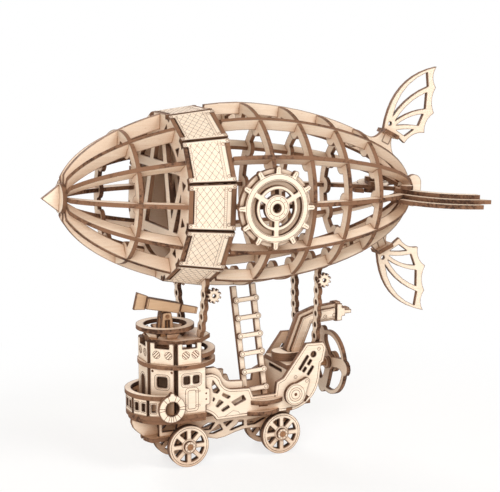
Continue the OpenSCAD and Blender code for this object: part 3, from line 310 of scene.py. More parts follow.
# A sheet's own axes: where it starts, its right and up directions, and the side it shows
def sheet(origin, right, up, out=None):
    right, up = Vector(right).normalized(), Vector(up).normalized()
    out = Vector(out) if out else right.cross(up)
    return Matrix(((right.x, up.x, out.x, origin[0]), (right.y, up.y, out.y, origin[1]),
                   (right.z, up.z, out.z, origin[2]), (0, 0, 0, 1)))


# An upright sheet drawn in station and height, on the port (-1) or starboard (1) side
def upright(side, y):
    return sheet((-HALF_LEN, side * y, 0), (1, 0, 0), (0, 0, 1), (0, side, 0))


def spin(angle, axis):
    return Matrix.Rotation(math.radians(angle), 4, axis)


def shift(x, y, z):
    return Matrix.Translation((x, y, z))


HULL = shift(PITCH_S - HALF_LEN, 0, HULL_AXIS_Z) @ spin(HULL_PITCH, "Y") @ shift(-PITCH_S, 0, 0)


# A point at a distance and an angle in degrees from a middle
def polar(u, v, r, angle):
    return u + r * math.cos(math.radians(angle)), v + r * math.sin(math.radians(angle))


def circle(u, v, r, n=28):
    return [polar(u, v, r, 360 * i / n) for i in range(n)]


def rounded_box(u, v, w, h, r, n=4):
    path = []
    for cu, cv, start in ((1, 1, 0), (-1, 1, 90), (-1, -1, 180), (1, -1, 270)):
        corner = u + cu * (w / 2 - r), v + cv * (h / 2 - r)
        path += [polar(*corner, r, start + 90 * i / n) for i in range(n + 1)]
    return path


def turned(path, angle):
    c, s = math.cos(math.radians(angle)), math.sin(math.radians(angle))
    return [(u * c - v * s, u * s + v * c) for u, v in path]


# The part of a line that lies inside a convex outline given anticlockwise, or None
def clipped(p, q, outline):
    start, end = 0.0, 1.0
    for a, b in zip(outline, outline[1:] + outline[:1]):
        side_p = (b[0] - a[0]) * (p[1] - a[1]) - (b[1] - a[1]) * (p[0] - a[0])
        side_q = (b[0] - a[0]) * (q[1] - a[1]) - (b[1] - a[1]) * (q[0] - a[0])
        if side_p < 0 and side_q < 0:
            return None
        if side_p < 0 or side_q < 0:
            cross = side_p / (side_p - side_q)
            start, end = (max(start, cross), end) if side_p < 0 else (start, min(end, cross))
    if end - start < 1e-3:
        return None
    return [tuple(p[i] + (q[i] - p[i]) * t for i in (0, 1)) for t in (start, end)]


# Outline of the outermost flat side that a node shows towards a sheet, in that sheet's own axes: the
# triangles there share every edge but those of the outline and of the openings, which are shorter
def plate_outline(name, axes):
    mesh = nodes[name].data
    back = axes.inverted()
    out = Vector(axes.col[2][:3])
    flat = [p for p in mesh.polygons if p.normal.dot(out) > 0.99]
    level = max((back @ (mesh.vertices[p.vertices[0]].co * 1000)).z for p in flat)
    ways = {}
    for p in flat:
        corners = [back @ (mesh.vertices[v].co * 1000) for v in p.vertices]
        if abs(corners[0].z - level) > 0.05:
            continue
        a, b, c = [(round(corner.x, 3), round(corner.y, 3)) for corner in corners]
        turn = (b[0] - a[0]) * (c[1] - a[1]) - (b[1] - a[1]) * (c[0] - a[0])
        for way in ((a, b), (b, c), (c, a)):
            ways[way if turn > 0 else way[::-1]] = True
    follow = {a: b for a, b in ways if (b, a) not in ways}
    loops = []
    while follow:
        start, at = follow.popitem()
        loop = [start]
        while at != start and at in follow:
            loop.append(at)
            at = follow.pop(at)
        loops.append(loop)
    return max(loops, key=lambda loop: max(u for u, _ in loop) - min(u for u, _ in loop))


# A line that runs inside an outline at a steady distance, or outside it where the gap is negative. Corners
# that would come nearer to another part of the outline are left out.
def inset(outline, gap):
    sides = list(zip(outline, outline[1:] + outline[:1]))

    def away(p):
        best = 1e9
        for (au, av), (bu, bv) in sides:
            du, dv = bu - au, bv - av
            along = ((p[0] - au) * du + (p[1] - av) * dv) / max(1e-9, du ** 2 + dv ** 2)
            t = max(0.0, min(1.0, along))
            best = min(best, math.hypot(p[0] - au - t * du, p[1] - av - t * dv))
        return best

    path = []
    for before, at, after in zip(outline[-1:] + outline[:-1], outline, outline[1:] + outline[:1]):
        d0 = Vector((at[0] - before[0], at[1] - before[1])).normalized()
        d1 = Vector((after[0] - at[0], after[1] - at[1])).normalized()
        n0, n1 = Vector((-d0.y, d0.x)), Vector((-d1.y, d1.x))
        move = (n0 + n1) / max(0.35, 1 + n0.dot(n1)) * gap
        p = (at[0] + move.x, at[1] + move.y)
        if away(p) > 0.93 * gap:
            path.append(p)
    return path


def add_object(name, data):
    obj = bpy.data.objects.new(name, data)
    bpy.context.scene.collection.objects.link(obj)
    return obj


# Cuts flat plates, given as a sheet that holds their outer side, their loops and thickness, and joins them
# in one piece that rides on a body and stands for some nodes
def cut_plates(name, body, plates, stands_for=(), face=FACE_LONG):
    whole = bmesh.new()
    for axes, loops, thick in plates:
        curve = bpy.data.curves.new(name, "CURVE")
        curve.dimensions, curve.fill_mode, curve.extrude = "2D", "BOTH", thick / 2
        for loop in loops:
            spline = curve.splines.new("POLY")
            spline.points.add(len(loop) - 1)
            spline.points.foreach_set("co", [c for u, v in loop for c in (u, v, 0.0, 1.0)])
            spline.use_cyclic_u = True
        outline = bpy.data.objects.new(name, curve)
        mesh = bpy.data.meshes.new_from_object(outline)
        bpy.data.objects.remove(outline)
        bpy.data.curves.remove(curve)
        mesh.transform(Matrix.Scale(0.001, 4) @ axes @ shift(0, 0, -thick / 2))
        single = bmesh.new()
        single.from_mesh(mesh)
        bmesh.ops.remove_doubles(single, verts=single.verts, dist=1e-7)
        bmesh.ops.recalc_face_normals(single, faces=single.faces)
        single.to_mesh(mesh)
        single.free()
        whole.from_mesh(mesh)
        bpy.data.meshes.remove(mesh)
    made = bpy.data.meshes.new(name)
    whole.to_mesh(made)
    whole.free()
    obj = add_object(name, made)
    dress_plates(obj, face=face)
    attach(obj, body)
    if stands_for:
        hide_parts(*stands_for)
    return obj


# Wheels: eight broad spokes with openings between them, a cap outside the hub and a spacer inside it
SPOKES, SPOKE_W, OPENING_IN, OPENING_OUT, OPENING_STEPS = 8, 2.2, 3.9, 7.8, 3
CAP_R, SPACER_R, SPACER_GAP = 2.8, 2.55, 0.3
AXLES = {"front_axle_set": FRONT_AXLE_S, "rear_axle_set": REAR_AXLE_S}


def wheel_loops(s):
    loops = [circle(s, WHEEL_R, WHEEL_R, 72), circle(s, WHEEL_R, AXLE_R, 20)]
    for k in range(SPOKES):
        opening = []
        for r, way in ((OPENING_IN, 1), (OPENING_OUT, -1)):
            half = 180 / SPOKES - math.degrees(math.asin(SPOKE_W / 2 / r))
            for i in range(-OPENING_STEPS, OPENING_STEPS + 1):
                angle = 360 / SPOKES * (k + 0.5) + way * half * i / OPENING_STEPS
                opening.append(polar(s, WHEEL_R, r, angle))
        loops.append(opening)
    return loops


def wheel_layers(s):
    hole = circle(s, WHEEL_R, AXLE_R, 20)
    layers = []
    for side in (-1, 1):
        layers.append((upright(side, WHEEL_Y), wheel_loops(s), WHEEL_T))
        layers.append((upright(side, WHEEL_Y + CAP_T), [circle(s, WHEEL_R, CAP_R, 36), hole], CAP_T))
        layers.append((upright(side, WHEEL_Y - WHEEL_T), [circle(s, WHEEL_R, SPACER_R, 28), hole],
                       WHEEL_Y - WHEEL_T - CHASSIS_OUT - SPACER_GAP))
    return layers


for body, stand_in in (("front_axle_set", "front_wheels"), ("rear_axle_set", "rear_wheels")):
    cut_plates("wheels_" + body, body, wheel_layers(AXLES[body]), [stand_in])

# Keel under the bow, which ends on the rib, and the front ends of the chassis plates above that rib
KEEL_EDGE = [(62.6, 24), (41.5, 24), (41.3, 22), (42.4, 19.2), (43.9, 17.5), (45.9, 15.8), (47.4, 14.5),
             (48.4, 13), (53.9, 13), (53.9, 15.05), (62.6, 15.05)]
KEEL_HOLE = circle(56.6, 19.5, 2.4, 24)
CHASSIS_END = [(53.2, 24), (53.2, 15.05), (63.2, 15.05), (64.5, 24)]
CHASSIS_END_OPENING = [(54.7, 22.8), (54.7, 17.2), (62.2, 17.2), (63.0, 22.8)]
cut_plates("keel_board", "airship", [(upright(-1, PLY / 2), [KEEL_EDGE, KEEL_HOLE], PLY)], ["bow_keel"])
cut_plates("chassis_ends", "airship", [
    (upright(side, CHASSIS_OUT), [CHASSIS_END, CHASSIS_END_OPENING], PLY) for side in (-1, 1)])

# Telescope: one long layer with the bell, the eyepiece and the pivot lug, and a shorter layer on each
# side. An edge is given from the front, as places along the tube and half heights.
SCOPE = shift(SCOPE_S - HALF_LEN, 0, SCOPE_Z) @ spin(SCOPE_TILT, "Y")
SCOPE_LONG = [(-16.5, 4.2), (-11, 3.3), (-11, 2.7), (6, 2.35), (6, 1.85), (15.6, 1.6)]
SCOPE_SHORT = [(-11.4, 2.7), (5.6, 2.35)]
LUG_R, LUG_LAP, LUG_STEPS, LUG_HOLE_R = 2.5, 2.3, 10, 0.8


def scope_sheet(y, side=-1):
    return SCOPE @ sheet((0, y, 0), (1, 0, 0), (0, 0, 1), (0, side, 0))


def scope_layer(y, edge):
    path = [(u, SCOPE_AXIS + h) for u, h in edge] + [(u, SCOPE_AXIS - h) for u, h in reversed(edge)]
    return scope_sheet(y), [path], PLY


def scope_lug():
    top = SCOPE_AXIS - LUG_LAP
    foot = [polar(0, 0, LUG_R, 180 + 180 * i / LUG_STEPS) for i in range(LUG_STEPS + 1)]
    edge = [(-LUG_R, top)] + foot + [(LUG_R, top)]
    return scope_sheet(-PLY / 2), [edge, circle(0, 0, LUG_HOLE_R, 14)], PLY


# The telescope's layers take the tan veneer copy with painted shade
cut_plates("telescope_layers", "telescope_set", [
    scope_layer(-PLY / 2, SCOPE_LONG), scope_layer(-1.5 * PLY, SCOPE_SHORT),
    scope_layer(PLY / 2, SCOPE_SHORT), scope_lug()], ["telescope"], FACE_PAINTED_SHADE)

# Cheeks of the telescope's stand: straight-sided, with a slot below and the hole for the pin. Their heads
# are nipped so that the tube clears them at every tilt.
STAND_FOOT, STAND_OUT, STAND_HOLE_R = 3.6, 3.3, 0.85
STAND_HEAD = [(2.15, 1.3), (0.9, 1.8), (-1.4, 1.8), (-2.3, 1.4)]
SLOT_W, SLOT_FOOT, SLOT_TOP = 2.4, ROOF_TOP + 0.8, 71.0


def cheek_loops():
    edge = [(SCOPE_S - STAND_FOOT, ROOF_TOP), (SCOPE_S + STAND_FOOT, ROOF_TOP)]
    edge += [(SCOPE_S + u, SCOPE_Z + v) for u, v in STAND_HEAD]
    front, rear = SCOPE_S - SLOT_W / 2, SCOPE_S + SLOT_W / 2
    slot = [(front, SLOT_FOOT), (rear, SLOT_FOOT), (rear, SLOT_TOP), (front, SLOT_TOP)]
    return [edge, slot, circle(SCOPE_S, SCOPE_Z, STAND_HOLE_R, 14)]


# The cheeks take the tan veneer copy with painted shade
cut_plates("scope_cheeks", "airship", [(upright(side, STAND_OUT), cheek_loops(), PLY) for side in (-1, 1)],
           ["scope_stand"], FACE_PAINTED_SHADE)

# Footboards on each side plate, as stations and heights of their top: the outer edge bows out, and the
# lower board sits a little further forward
FOOTBOARDS = ((97.4, 29.8), (95.5, 24.5))
FOOTBOARD_LEN, FOOTBOARD_REACH, FOOTBOARD_END, FOOTBOARD_STEPS = 16.7, 3.5, 0.4, 12


def footboard(s, side):
    path = [(s, side * SIDE_OUT), (s + FOOTBOARD_LEN, side * SIDE_OUT)]
    for i in range(FOOTBOARD_STEPS + 1):
        t = 1 - i / FOOTBOARD_STEPS
        bow = FOOTBOARD_END + 4 * (FOOTBOARD_REACH - FOOTBOARD_END) * t * (1 - t)
        path.append((s + FOOTBOARD_LEN * t, side * (SIDE_OUT + bow)))
    return path


cut_plates("footboard_plates", "airship", [
    (sheet((-HALF_LEN, 0, top), (1, 0, 0), (0, 1, 0)), [footboard(s, side)], PLY)
    for s, top in FOOTBOARDS for side in (-1, 1)], ["footboards"])

# Gun: a thick middle layer that stands out past the node's outer side, and an outer layer on each side
# that steps back from it
GUN_STEP, GUN_MIDDLE_STEP = 1.0, -0.6
gun_edge = plate_outline("gun_layers", upright(-1, GUN_OUT))
cut_plates("gun_plates", "airship", [
    (upright(-1, GUN_OUT), [inset(gun_edge, GUN_STEP)], PLY),
    (upright(1, GUN_OUT), [inset(gun_edge, GUN_STEP)], PLY),
    (upright(-1, GUN_OUT - PLY), [inset(gun_edge, GUN_MIDDLE_STEP)], 2 * PLY)], ["gun_layers"])

# Screw, seen from ahead with port on the right: a hoop and three sickle blades cut from one plate, a hub
# behind it and a collar in front. The blade that points right is drawn from the hub out, as its upper
# edge, its tip past the hoop and its lower edge.
BLADES, BLADE_TURN, HUB_R, COLLAR_R, HOOP_STEPS, HUB_STEPS = 3, 10, 5.2, 3.0, 20, 6
BLADE_UPPER = [(3.0, 2.55), (8.0, 2.6), (13.2, 2.4), (13.82, 2.2)]
BLADE_TIP = [(16.13, 1.55), (17.9, 0.4), (19.0, -1.2), (19.1, -3.2), (18.3, -4.9), (16.8, -6.1),
             (14.93, -6.3)]
BLADE_LOWER = [(3.0, -2.5), (8.0, -2.6), (10.8, -3.0), (12.6, -4.2), (13.03, -5.12)]


# Points of an arc about the shaft, between the ends of two edges and without them; way is 1 for
# anticlockwise and -1 for clockwise
def arc_between(first, last, way, n):
    r = math.hypot(*first)
    start = math.atan2(first[1], first[0])
    run = (math.atan2(last[1], last[0]) - start) % (way * 2 * math.pi)
    return [(r * math.cos(start + run * i / n), r * math.sin(start + run * i / n)) for i in range(1, n)]


def screw_loops():
    rim, openings = [], []
    for k in range(BLADES):
        here, ahead = BLADE_TURN - 360 / BLADES * k, BLADE_TURN - 360 / BLADES * (k + 1)
        tip, following = turned(BLADE_TIP, here), turned(BLADE_TIP, ahead)
        rim += tip + arc_between(tip[-1], following[0], -1, HOOP_STEPS)
        lower = turned(BLADE_LOWER, here)
        upper = turned(BLADE_UPPER, ahead)[::-1]
        openings.append(lower + arc_between(lower[-1], upper[0], -1, HOOP_STEPS) + upper
                        + arc_between(upper[-1], lower[0], 1, HUB_STEPS))
    return [rim] + openings


def screw_plate(s, loops):
    axes = sheet((s - HALF_LEN, 0, SCREW_Z), (0, -1, 0), (0, 0, 1))
    return axes, loops + [circle(0, 0, SHAFT_R, 20)], PLY


cut_plates("screw_blades", "screw_set", [
    screw_plate(SCREW_S, screw_loops()), screw_plate(SCREW_S + PLY, [circle(0, 0, HUB_R, 36)]),
    screw_plate(SCREW_S - PLY, [circle(0, 0, COLLAR_R, 28)])], ["screw"])

# Ends of the cross plates' tabs, which come through the lower edge of each side plate and show burnt end
# grain: where each one is and how far it is turned
TAB_ENDS = ((127.1, 27.4, 49), (118.0, 23.1, 4))
TAB_LEN, TAB_T, TAB_PROUD = 3.2, 1.7, 0.2


def tab_end(s, z, angle):
    u, v = TAB_LEN / 2, TAB_T / 2
    return [(s + du, z + dv) for du, dv in turned([(-u, -v), (u, -v), (u, v), (-u, v)], angle)]


for name, side in (("port_tab_ends", -1), ("starboard_tab_ends", 1)):
    ends = cut_plates(name, "airship", [
        (upright(side, SIDE_OUT + TAB_PROUD), [tab_end(s, z, angle)], PLY) for s, z, angle in TAB_ENDS])
    for poly in ends.data.polygons:
        poly.material_index = CUT

marks = {body: Marks() for body in ("airship", "front_axle_set", "rear_axle_set", "telescope_set")}
ship = marks["airship"]


# Armour band: diamond lattice in a frame, rows of fine rivets and bolts in the corners
def engrave_band():
    rise = BAND_REAR_AP - BAND_FRONT_AP
    tilt, long = math.degrees(math.atan2(rise, BAND_LEN)), math.hypot(BAND_LEN, rise)
    front_w, rear_w = [(ap - PLY) * math.tan(math.radians(180 / PANELS)) - 0.15
                       for ap in (BAND_FRONT_AP, BAND_REAR_AP)]
    front, rear = 3.4, long - 5.6
    cell_u, cell_v = 3.1, 3.9
    rivets = 10

    def edge(u):
        return front_w + (rear_w - front_w) * u / long - 0.9

    field = [(front, -edge(front)), (rear, -edge(rear)), (rear, edge(rear)), (front, edge(front))]
    reach = rear_w + 2
    lean = reach * cell_u / cell_v
    lattice = []
    for slope in (-1, 1):
        for i in range(-12, 22):
            u = front + cell_u * i
            lattice.append(clipped((u - slope * lean, -reach), (u + slope * lean, reach), field))
    for k in range(PANELS):
        panel = HULL @ spin(360 / PANELS * k, "X") @ shift(BAND_S, 0, BAND_FRONT_AP) @ spin(-tilt, "Y")
        for line in filter(None, lattice):
            ship.stroke(panel, line, 0.16)
        for u in (front, rear, rear + 1.2):
            ship.stroke(panel, [(u, -edge(u)), (u, edge(u))], 0.22)
        for u in (front - 0.5, rear + 0.6):
            for i in range(-rivets, rivets + 1):
                ship.dot(panel, u, i * edge(u) / (rivets + 0.5), 0.2)
        for side in (-1, 1):
            ship.bolt(panel, long - 3.2, side * (rear_w - 2.6), 0.8)
            ship.bolt(panel, 1.1, side * (front_w - 1.1), 0.6)
            ship.bolt(panel, long - 1.1, side * (rear_w - 1.1), 0.6)


# An upright sheet on the wall or rail panel that looks to port once it is turned about a middle
def turned_wall(turn, s, reach, z):
    rot = spin(turn, "Z")
    middle = Vector((s - HALF_LEN, 0, z)) + rot @ Vector((0, -1, 0)) * reach
    return sheet(middle, rot @ Vector((1, 0, 0)), (0, 0, 1))


def tower_wall(turn, z):
    return turned_wall(turn, TOWER_S, TOWER_AP, z)


# Vents of the tower's upper walls: the wall's turn, places along it and the way that the bars lean
VENTS = ((0, (-1.9, 2.9), -1), (-45, (-2.8, 3.3), 1), (-90, (-3, 3), -1), (-135, (-3.3, 2.8), 1),
         (180, (-2.9, 1.9), -1))
VENT_Z, VENT_R, VENT_BAR_R, VENT_BAR_PITCH = 4.6, 1.85, 1.75, 1.05
# Frames on the tower's side walls, round the window, the door and its straps: middle, width, height,
# corner radius and line
SIDE_WALL_FRAMES = ((0.8, WINDOW_Z, 10.4, 6.6, 1.7, 0.26), (0.8, WINDOW_Z, 9.2, 5.4, 1.3, 0.16),
                    (1.0, 7.0, 6.5, 11.4, 1.6, 0.26), (1.0, 6.9, 4.0, 9.0, 0.8, 0.26),
                    (4.0, 10.7, 2.3, 0.8, 0.3, 0.2), (4.0, 3.75, 2.3, 0.8, 0.3, 0.2),
                    (-2.7, 4.4, 2.3, 0.8, 0.3, 0.2))
SIDE_WALL_DOTS = ((-2.25, 10.0, 0.4), (8.3, 9.1, 0.62), (8.3, 6.3, 0.62))
ARCH_GAP, ARCH_FOOT, ARCH_STEPS = 1.0, 1.2, 12


# Tower: hatched round vents above, framed windows, doors with straps and an arch below
def engrave_tower():
    for turn, vents, lean in VENTS:
        wall = tower_wall(turn, UPPER_Z)
        for u in vents:
            ship.ring(wall, u, VENT_Z, VENT_R, 0.26)
            for off in (-VENT_BAR_PITCH, 0.0, VENT_BAR_PITCH):
                reach = math.sqrt((VENT_BAR_R ** 2 - off ** 2) / 2)
                mid = off * math.sqrt(0.5)
                ship.stroke(wall, [(u + mid - reach, VENT_Z - lean * (mid + reach)),
                                   (u + mid + reach, VENT_Z - lean * (mid - reach))], 0.42)
    for turn, aft in ((0, 1), (180, -1)):
        wall = tower_wall(turn, DECK_TOP)
        for u, v, w, h, r, line in SIDE_WALL_FRAMES:
            ship.stroke(wall, rounded_box(aft * u, v, w, h, r), line, True)
        for u, v, r in SIDE_WALL_DOTS:
            ship.dot(wall, aft * u, v, r)
    for turn in (-45, -135):
        wall = tower_wall(turn, DECK_TOP)
        ship.stroke(wall, rounded_box(0, WINDOW_Z - 1, 7.8, 7.4, 1.9), 0.26, True)
        ship.stroke(wall, rounded_box(0, WINDOW_Z - 1, 6.5, 6.2, 1.3), 0.14, True)
        for u in (-4.9, 4.9):
            ship.dot(wall, u, 20.6, 0.85)
    half = DOOR_W / 2 + ARCH_GAP
    arch = [polar(0, DOOR_H + PLY, half, 180 - 180 * i / ARCH_STEPS) for i in range(ARCH_STEPS + 1)]
    ship.stroke(tower_wall(-90, DECK_TOP), [(-half, ARCH_FOOT)] + arch + [(half, ARCH_FOOT)], 0.28)


# Bow rail: a frame round each window of the panels
def engrave_rail():
    for turn in range(-150, -29, 30):
        panel = turned_wall(turn, BOW_S, BOW_R - PLY / 4, DECK_TOP)
        for u in (-2, 2):
            ship.stroke(panel, rounded_box(u, 4.0, 3.1, 5.2, 0.3, 1), 0.28, True)


# Straps of the lifebuoy: where each one is and how far its two lines lie from its middle, in degrees
STRAPS = ((0, 7), (60, 11), (120, 11), (180, 7), (240, 11), (270, 6), (300, 11))
STRAP_IN, STRAP_OUT = 3.6, 6.5


# Lifebuoy: pairs of lines where the straps go round
def engrave_lifebuoy():
    face = upright(-1, BOW_R + 1.25 * PLY + 0.05)
    u, v = BOW_S - 3.5, DECK_TOP + RAIL_H - PLY - 3.5
    for turn, part in STRAPS:
        for angle in (turn - part, turn + part):
            ship.stroke(face, [polar(u, v, r, angle) for r in (STRAP_IN, STRAP_OUT)], 0.28)


SIDE_BOLTS = ((134.1, 51.6), (121.4, 38.8))
SIDE_SLOT = [(101.7, 26.7), (106.3, 26.5)]
SIDE_HOLE = (110.3, 30.6)
STEPPED_LINE = [(83.8, 23.8), (88.0, 26.0), (90.6, 25.4), (91.7, 24.0), (96.4, 23.9)]
COVER_RINGS = ((4.8, 0.24), (3.4, 0.3), (2.3, 0.3))


# Side plates: a line inside the edge, bolts, a slot and a hole, a stepped line below the lattice and the
# covers' rings
def engrave_sides():
    for side, name in ((-1, "port_side"), (1, "starboard_side")):
        face = upright(side, SIDE_OUT)
        ship.stroke(face, inset(plate_outline(name, face), 1.2), 0.26, True)
        for u, v in SIDE_BOLTS:
            ship.bolt(face, u, v, 0.8)
        ship.stroke(face, SIDE_SLOT, 1.0)
        ship.dot(face, *SIDE_HOLE, 0.6)
        ship.stroke(face, STEPPED_LINE, 0.2)
        cover = upright(side, SIDE_OUT + PLY)
        for r, line in COVER_RINGS:
            ship.ring(cover, *COVER_AT, r, line)
        ship.dot(cover, *COVER_AT, 1.1)
        ship.bolt(cover, COVER_AT[0] + 6, COVER_AT[1] + 6.2, 0.8)


# Gun: a line inside the edge of its outer layers and two bolts near the muzzle
def engrave_gun():
    for side in (-1, 1):
        face = upright(side, GUN_OUT)
        ship.stroke(face, inset(plate_outline("gun_layers", face), GUN_STEP + 0.8), 0.2, True)
        for u, v in ((143.0, 64.6), (147.9, 64.9)):
            ship.bolt(face, u, v, 0.85)


# Ladder: a ring on every boss of the rungs
def engrave_ladder():
    run = Vector(LADDER_HEAD) - Vector(LADDER_FOOT)
    lean = (shift(LADDER_FOOT[0] - HALF_LEN, LADDER_FOOT[1], LADDER_FOOT[2])
            @ Matrix.Rotation(math.atan2(-run.y, run.z), 4, "X")
            @ Matrix.Rotation(math.atan2(run.x, math.hypot(run.y, run.z)), 4, "Y"))
    face = lean @ sheet((0, -1.5 * PLY, 0), (1, 0, 0), (0, 0, 1))
    for i in range(RUNGS):
        for u in (-LADDER_W / 2, LADDER_W / 2):
            ship.ring(face, u, run.length - RUNG_PITCH * (i + TOP_RUNG), 0.85, 0.26, 14)


# Wheels: lines round the rim and round the hub, and a ring of dots on the cap
def engrave_wheels():
    for body, s in AXLES.items():
        for side in (-1, 1):
            wheel = upright(side, WHEEL_Y)
            cap = upright(side, WHEEL_Y + CAP_T)
            marks[body].ring(wheel, s, WHEEL_R, 9.1, 0.28, 40)
            marks[body].ring(wheel, s, WHEEL_R, 3.7, 0.22, 28)
            for u, v in circle(s, WHEEL_R, 2.15, 8):
                marks[body].dot(cap, u, v, 0.3)


# Medallions: a line along each knob, rings on the hub and on the wheel, and a ring of dots on the hub
def engrave_medallions():
    for side in (-1, 1):
        axes = HULL @ sheet((0, side * MEDAL_Y, 0), (1, 0, 0), (0, 0, 1), (0, side, 0))
        for k in range(KNOBS):
            ship.stroke(axes, [polar(MEDAL_S, 0, r, 360 / KNOBS * k) for r in (16.2, 18.3)], 0.22)
        for r in (15.3, 13.1, 5.4, 3.6):
            ship.ring(axes, MEDAL_S, 0, r, 0.24, 40)
        for u, v in circle(MEDAL_S, 0, 4.5, 10):
            ship.dot(axes, u, v, 0.28)


# Bands round the telescope: the layer's outer side, the place along the tube, half height and line
SCOPE_BANDS = ((PLY / 2, -11.4, 3.1, 0.26), (PLY / 2, 14.6, 1.4, 0.26), (1.5 * PLY, -10.6, 2.5, 0.26),
               (PLY / 2, 6.8, 1.75, 1.0))


def engrave_telescope():
    for side in (-1, 1):
        for y, u, half, line in SCOPE_BANDS:
            marks["telescope_set"].stroke(
                scope_sheet(side * y, side), [(u, SCOPE_AXIS - half), (u, SCOPE_AXIS + half)], line)


engrave_band()
engrave_tower()
engrave_rail()
engrave_lifebuoy()
engrave_sides()
engrave_gun()
engrave_ladder()
engrave_wheels()
engrave_medallions()
engrave_telescope()


# Geometry Nodes tree that turns strokes into thin ridges and dots into small domes
def burnt_marks_tree():
    tree = bpy.data.node_groups.new("burnt_marks", "GeometryNodeTree")
    tree.interface.new_socket("Geometry", in_out="INPUT", socket_type="NodeSocketGeometry")
    sides = tree.interface.new_socket("Ridge sides", in_out="INPUT", socket_type="NodeSocketInt")
    detail = tree.interface.new_socket("Dot rounds", in_out="INPUT", socket_type="NodeSocketInt")
    tree.interface.new_socket("Geometry", in_out="OUTPUT", socket_type="NodeSocketGeometry")
    given = node(tree, "NodeGroupInput")
    width = node(tree, "GeometryNodeInputNamedAttribute", {"Name": "half_width"}, data_type="FLOAT")
    is_dot = node(tree, "GeometryNodeInputNamedAttribute", {"Name": "dot"}, data_type="BOOLEAN")
    paths = node(tree, "GeometryNodeMeshToCurve", {"Mesh": given.outputs["Geometry"]})
    profile = node(tree, "GeometryNodeCurvePrimitiveCircle", {
        "Resolution": given.outputs["Ridge sides"], "Radius": 1.0})
    ridges = node(tree, "GeometryNodeCurveToMesh", {
        "Curve": paths.outputs[0], "Profile Curve": profile.outputs[0],
        "Scale": width.outputs["Attribute"], "Fill Caps": True})
    places = node(tree, "GeometryNodeMeshToPoints", {
        "Mesh": given.outputs["Geometry"], "Selection": is_dot.outputs["Attribute"]})
    dome = node(tree, "GeometryNodeMeshUVSphere", {
        "Segments": given.outputs["Dot rounds"], "Rings": 5, "Radius": 1.0})
    domes = node(tree, "GeometryNodeInstanceOnPoints", {
        "Points": places.outputs[0], "Instance": dome.outputs["Mesh"], "Scale": width.outputs["Attribute"]})
    joined = node(tree, "GeometryNodeJoinGeometry", {"Geometry": ridges.outputs[0]})
    tree.links.new(domes.outputs[0], joined.inputs[0])
    real = node(tree, "GeometryNodeRealizeInstances", {"Geometry": joined.outputs[0]})
    dressed = node(tree, "GeometryNodeSetMaterial", {"Geometry": real.outputs[0], "Material": ENGRAVED})
    node(tree, "NodeGroupOutput", {"Geometry": dressed.outputs[0]})
    return tree, {sides.identifier: 6, detail.identifier: 8}


TREE, TREE_SIZES = burnt_marks_tree()


def make_marks(body, drawn):
    mesh = bpy.data.meshes.new("marks_" + body)
    mesh.from_pydata([p / 1000 for p in drawn.points], drawn.edges, [])
    half_width = mesh.attributes.new("half_width", "FLOAT", "POINT")
    half_width.data.foreach_set("value", [w / 1000 for w in drawn.widths])
    mesh.attributes.new("dot", "BOOLEAN", "POINT").data.foreach_set("value", drawn.dots)
    obj = add_object("marks_" + body, mesh)
    modifier = obj.modifiers.new("burnt_marks", "NODES")
    modifier.node_group = TREE
    for identifier, value in TREE_SIZES.items():
        modifier[identifier] = value
    finished = bpy.data.meshes.new_from_object(obj.evaluated_get(bpy.context.evaluated_depsgraph_get()))
    obj.modifiers.clear()
    obj.data = finished
    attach(obj, body)


for body, drawn in marks.items():
    make_marks(body, drawn)

FLOOR_HALF, FLOOR_Z, SHADOW_R, WHITE_R = 30, -0.00005, 0.1, 0.26


# 1 for what the camera sees straight, in a reflection or through glass, and 0 for light on the object
def seen_share(tree):
    ray = node(tree, "ShaderNodeLightPath")
    seen = ray.outputs["Is Camera Ray"]
    for kind in ("Is Glossy Ray", "Is Transmission Ray"):
        seen = node(tree, "ShaderNodeMath", {0: seen, 1: ray.outputs[kind]}, operation="MAXIMUM").outputs[0]
    return seen


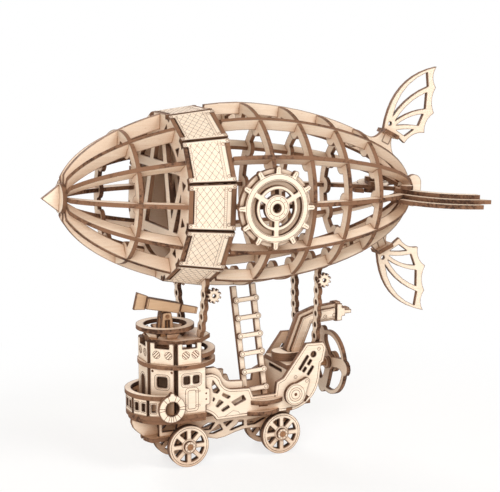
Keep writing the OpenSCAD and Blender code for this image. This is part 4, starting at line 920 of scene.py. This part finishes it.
# Stage: pale floor that keeps the shadow near the model and turns to plain white further out
def make_floor():
    made, tree = new_material("studio_floor")
    place = node(tree, "ShaderNodeTexCoord").outputs["Object"]
    out = node(tree, "ShaderNodeVectorMath", {0: place}, operation="LENGTH")
    far = node(tree, "ShaderNodeMapRange", {
        "Value": out.outputs["Value"], "From Min": SHADOW_R, "From Max": WHITE_R},
        interpolation_type="SMOOTHSTEP")
    kept = node(tree, "ShaderNodeMapRange", {"Value": far.outputs[0], "To Min": 0.72, "To Max": 1.0})
    blend = node(tree, "ShaderNodeMath", {0: kept.outputs[0], 1: seen_share(tree)}, operation="MULTIPLY")
    matte = node(tree, "ShaderNodeBsdfDiffuse", {"Color": srgb("FBFBFA")})
    white = node(tree, "ShaderNodeEmission", {"Color": (1, 1, 1, 1), "Strength": 1.0})
    both = node(tree, "ShaderNodeMixShader", {
        "Fac": blend.outputs[0], 1: matte.outputs[0], 2: white.outputs[0]})
    node(tree, "ShaderNodeOutputMaterial", {"Surface": both.outputs[0]})
    corners = [(x * FLOOR_HALF, y * FLOOR_HALF, FLOOR_Z) for x, y in ((-1, -1), (1, -1), (1, 1), (-1, 1))]
    mesh = bpy.data.meshes.new("floor")
    mesh.from_pydata(corners, [], [(0, 1, 2, 3)])
    mesh.materials.append(made)
    floor = add_object("floor", mesh)


def make_world():
    world = bpy.data.worlds.new("studio")
    bpy.context.scene.world = world
    world.use_nodes = True
    tree = world.node_tree
    tree.nodes.clear()
    soft = node(tree, "ShaderNodeBackground", {"Color": srgb("FFF1E2"), "Strength": 0.3})
    white = node(tree, "ShaderNodeBackground", {"Color": (1, 1, 1, 1), "Strength": 1.0})
    both = node(tree, "ShaderNodeMixShader", {
        "Fac": seen_share(tree), 1: soft.outputs[0], 2: white.outputs[0]})
    node(tree, "ShaderNodeOutputWorld", {"Surface": both.outputs[0]})


def place_aimed(obj, at, aim):
    obj.location = at
    obj.rotation_euler = (Vector(aim) - Vector(at)).to_track_quat("-Z", "Y").to_euler()


def make_lamp(name, at, aim, size, watts):
    data = bpy.data.lights.new(name, "AREA")
    data.shape, data.size, data.energy = "DISK", size, watts
    place_aimed(add_object(name, data), at, aim)


# Camera at the photograph's viewing angle
def make_camera(at, aim, lens):
    data = bpy.data.cameras.new("camera")
    data.sensor_fit, data.sensor_width, data.lens = "HORIZONTAL", 36.0, lens
    data.clip_start, data.clip_end = 0.05, 100.0
    camera = add_object("camera", data)
    place_aimed(camera, at, aim)
    bpy.context.scene.camera = camera


make_floor()
make_world()
make_lamp("key_softbox", (0.44, -0.70, 0.92), (0, 0, 0.1), 0.45, 6.0)
make_lamp("fill_softbox", (-0.6, -0.92, 0.5), (0, 0, 0.08), 0.6, 8.1)
make_lamp("back_softbox", (-0.1, 1.05, 0.6), (0, 0, 0.1), 0.6, 8.0)
make_camera((-0.2921, -0.6286, 0.2297), (-0.0013, 0.0, 0.1026), 104.96)
bpy.context.scene.view_settings.view_transform = "Standard"
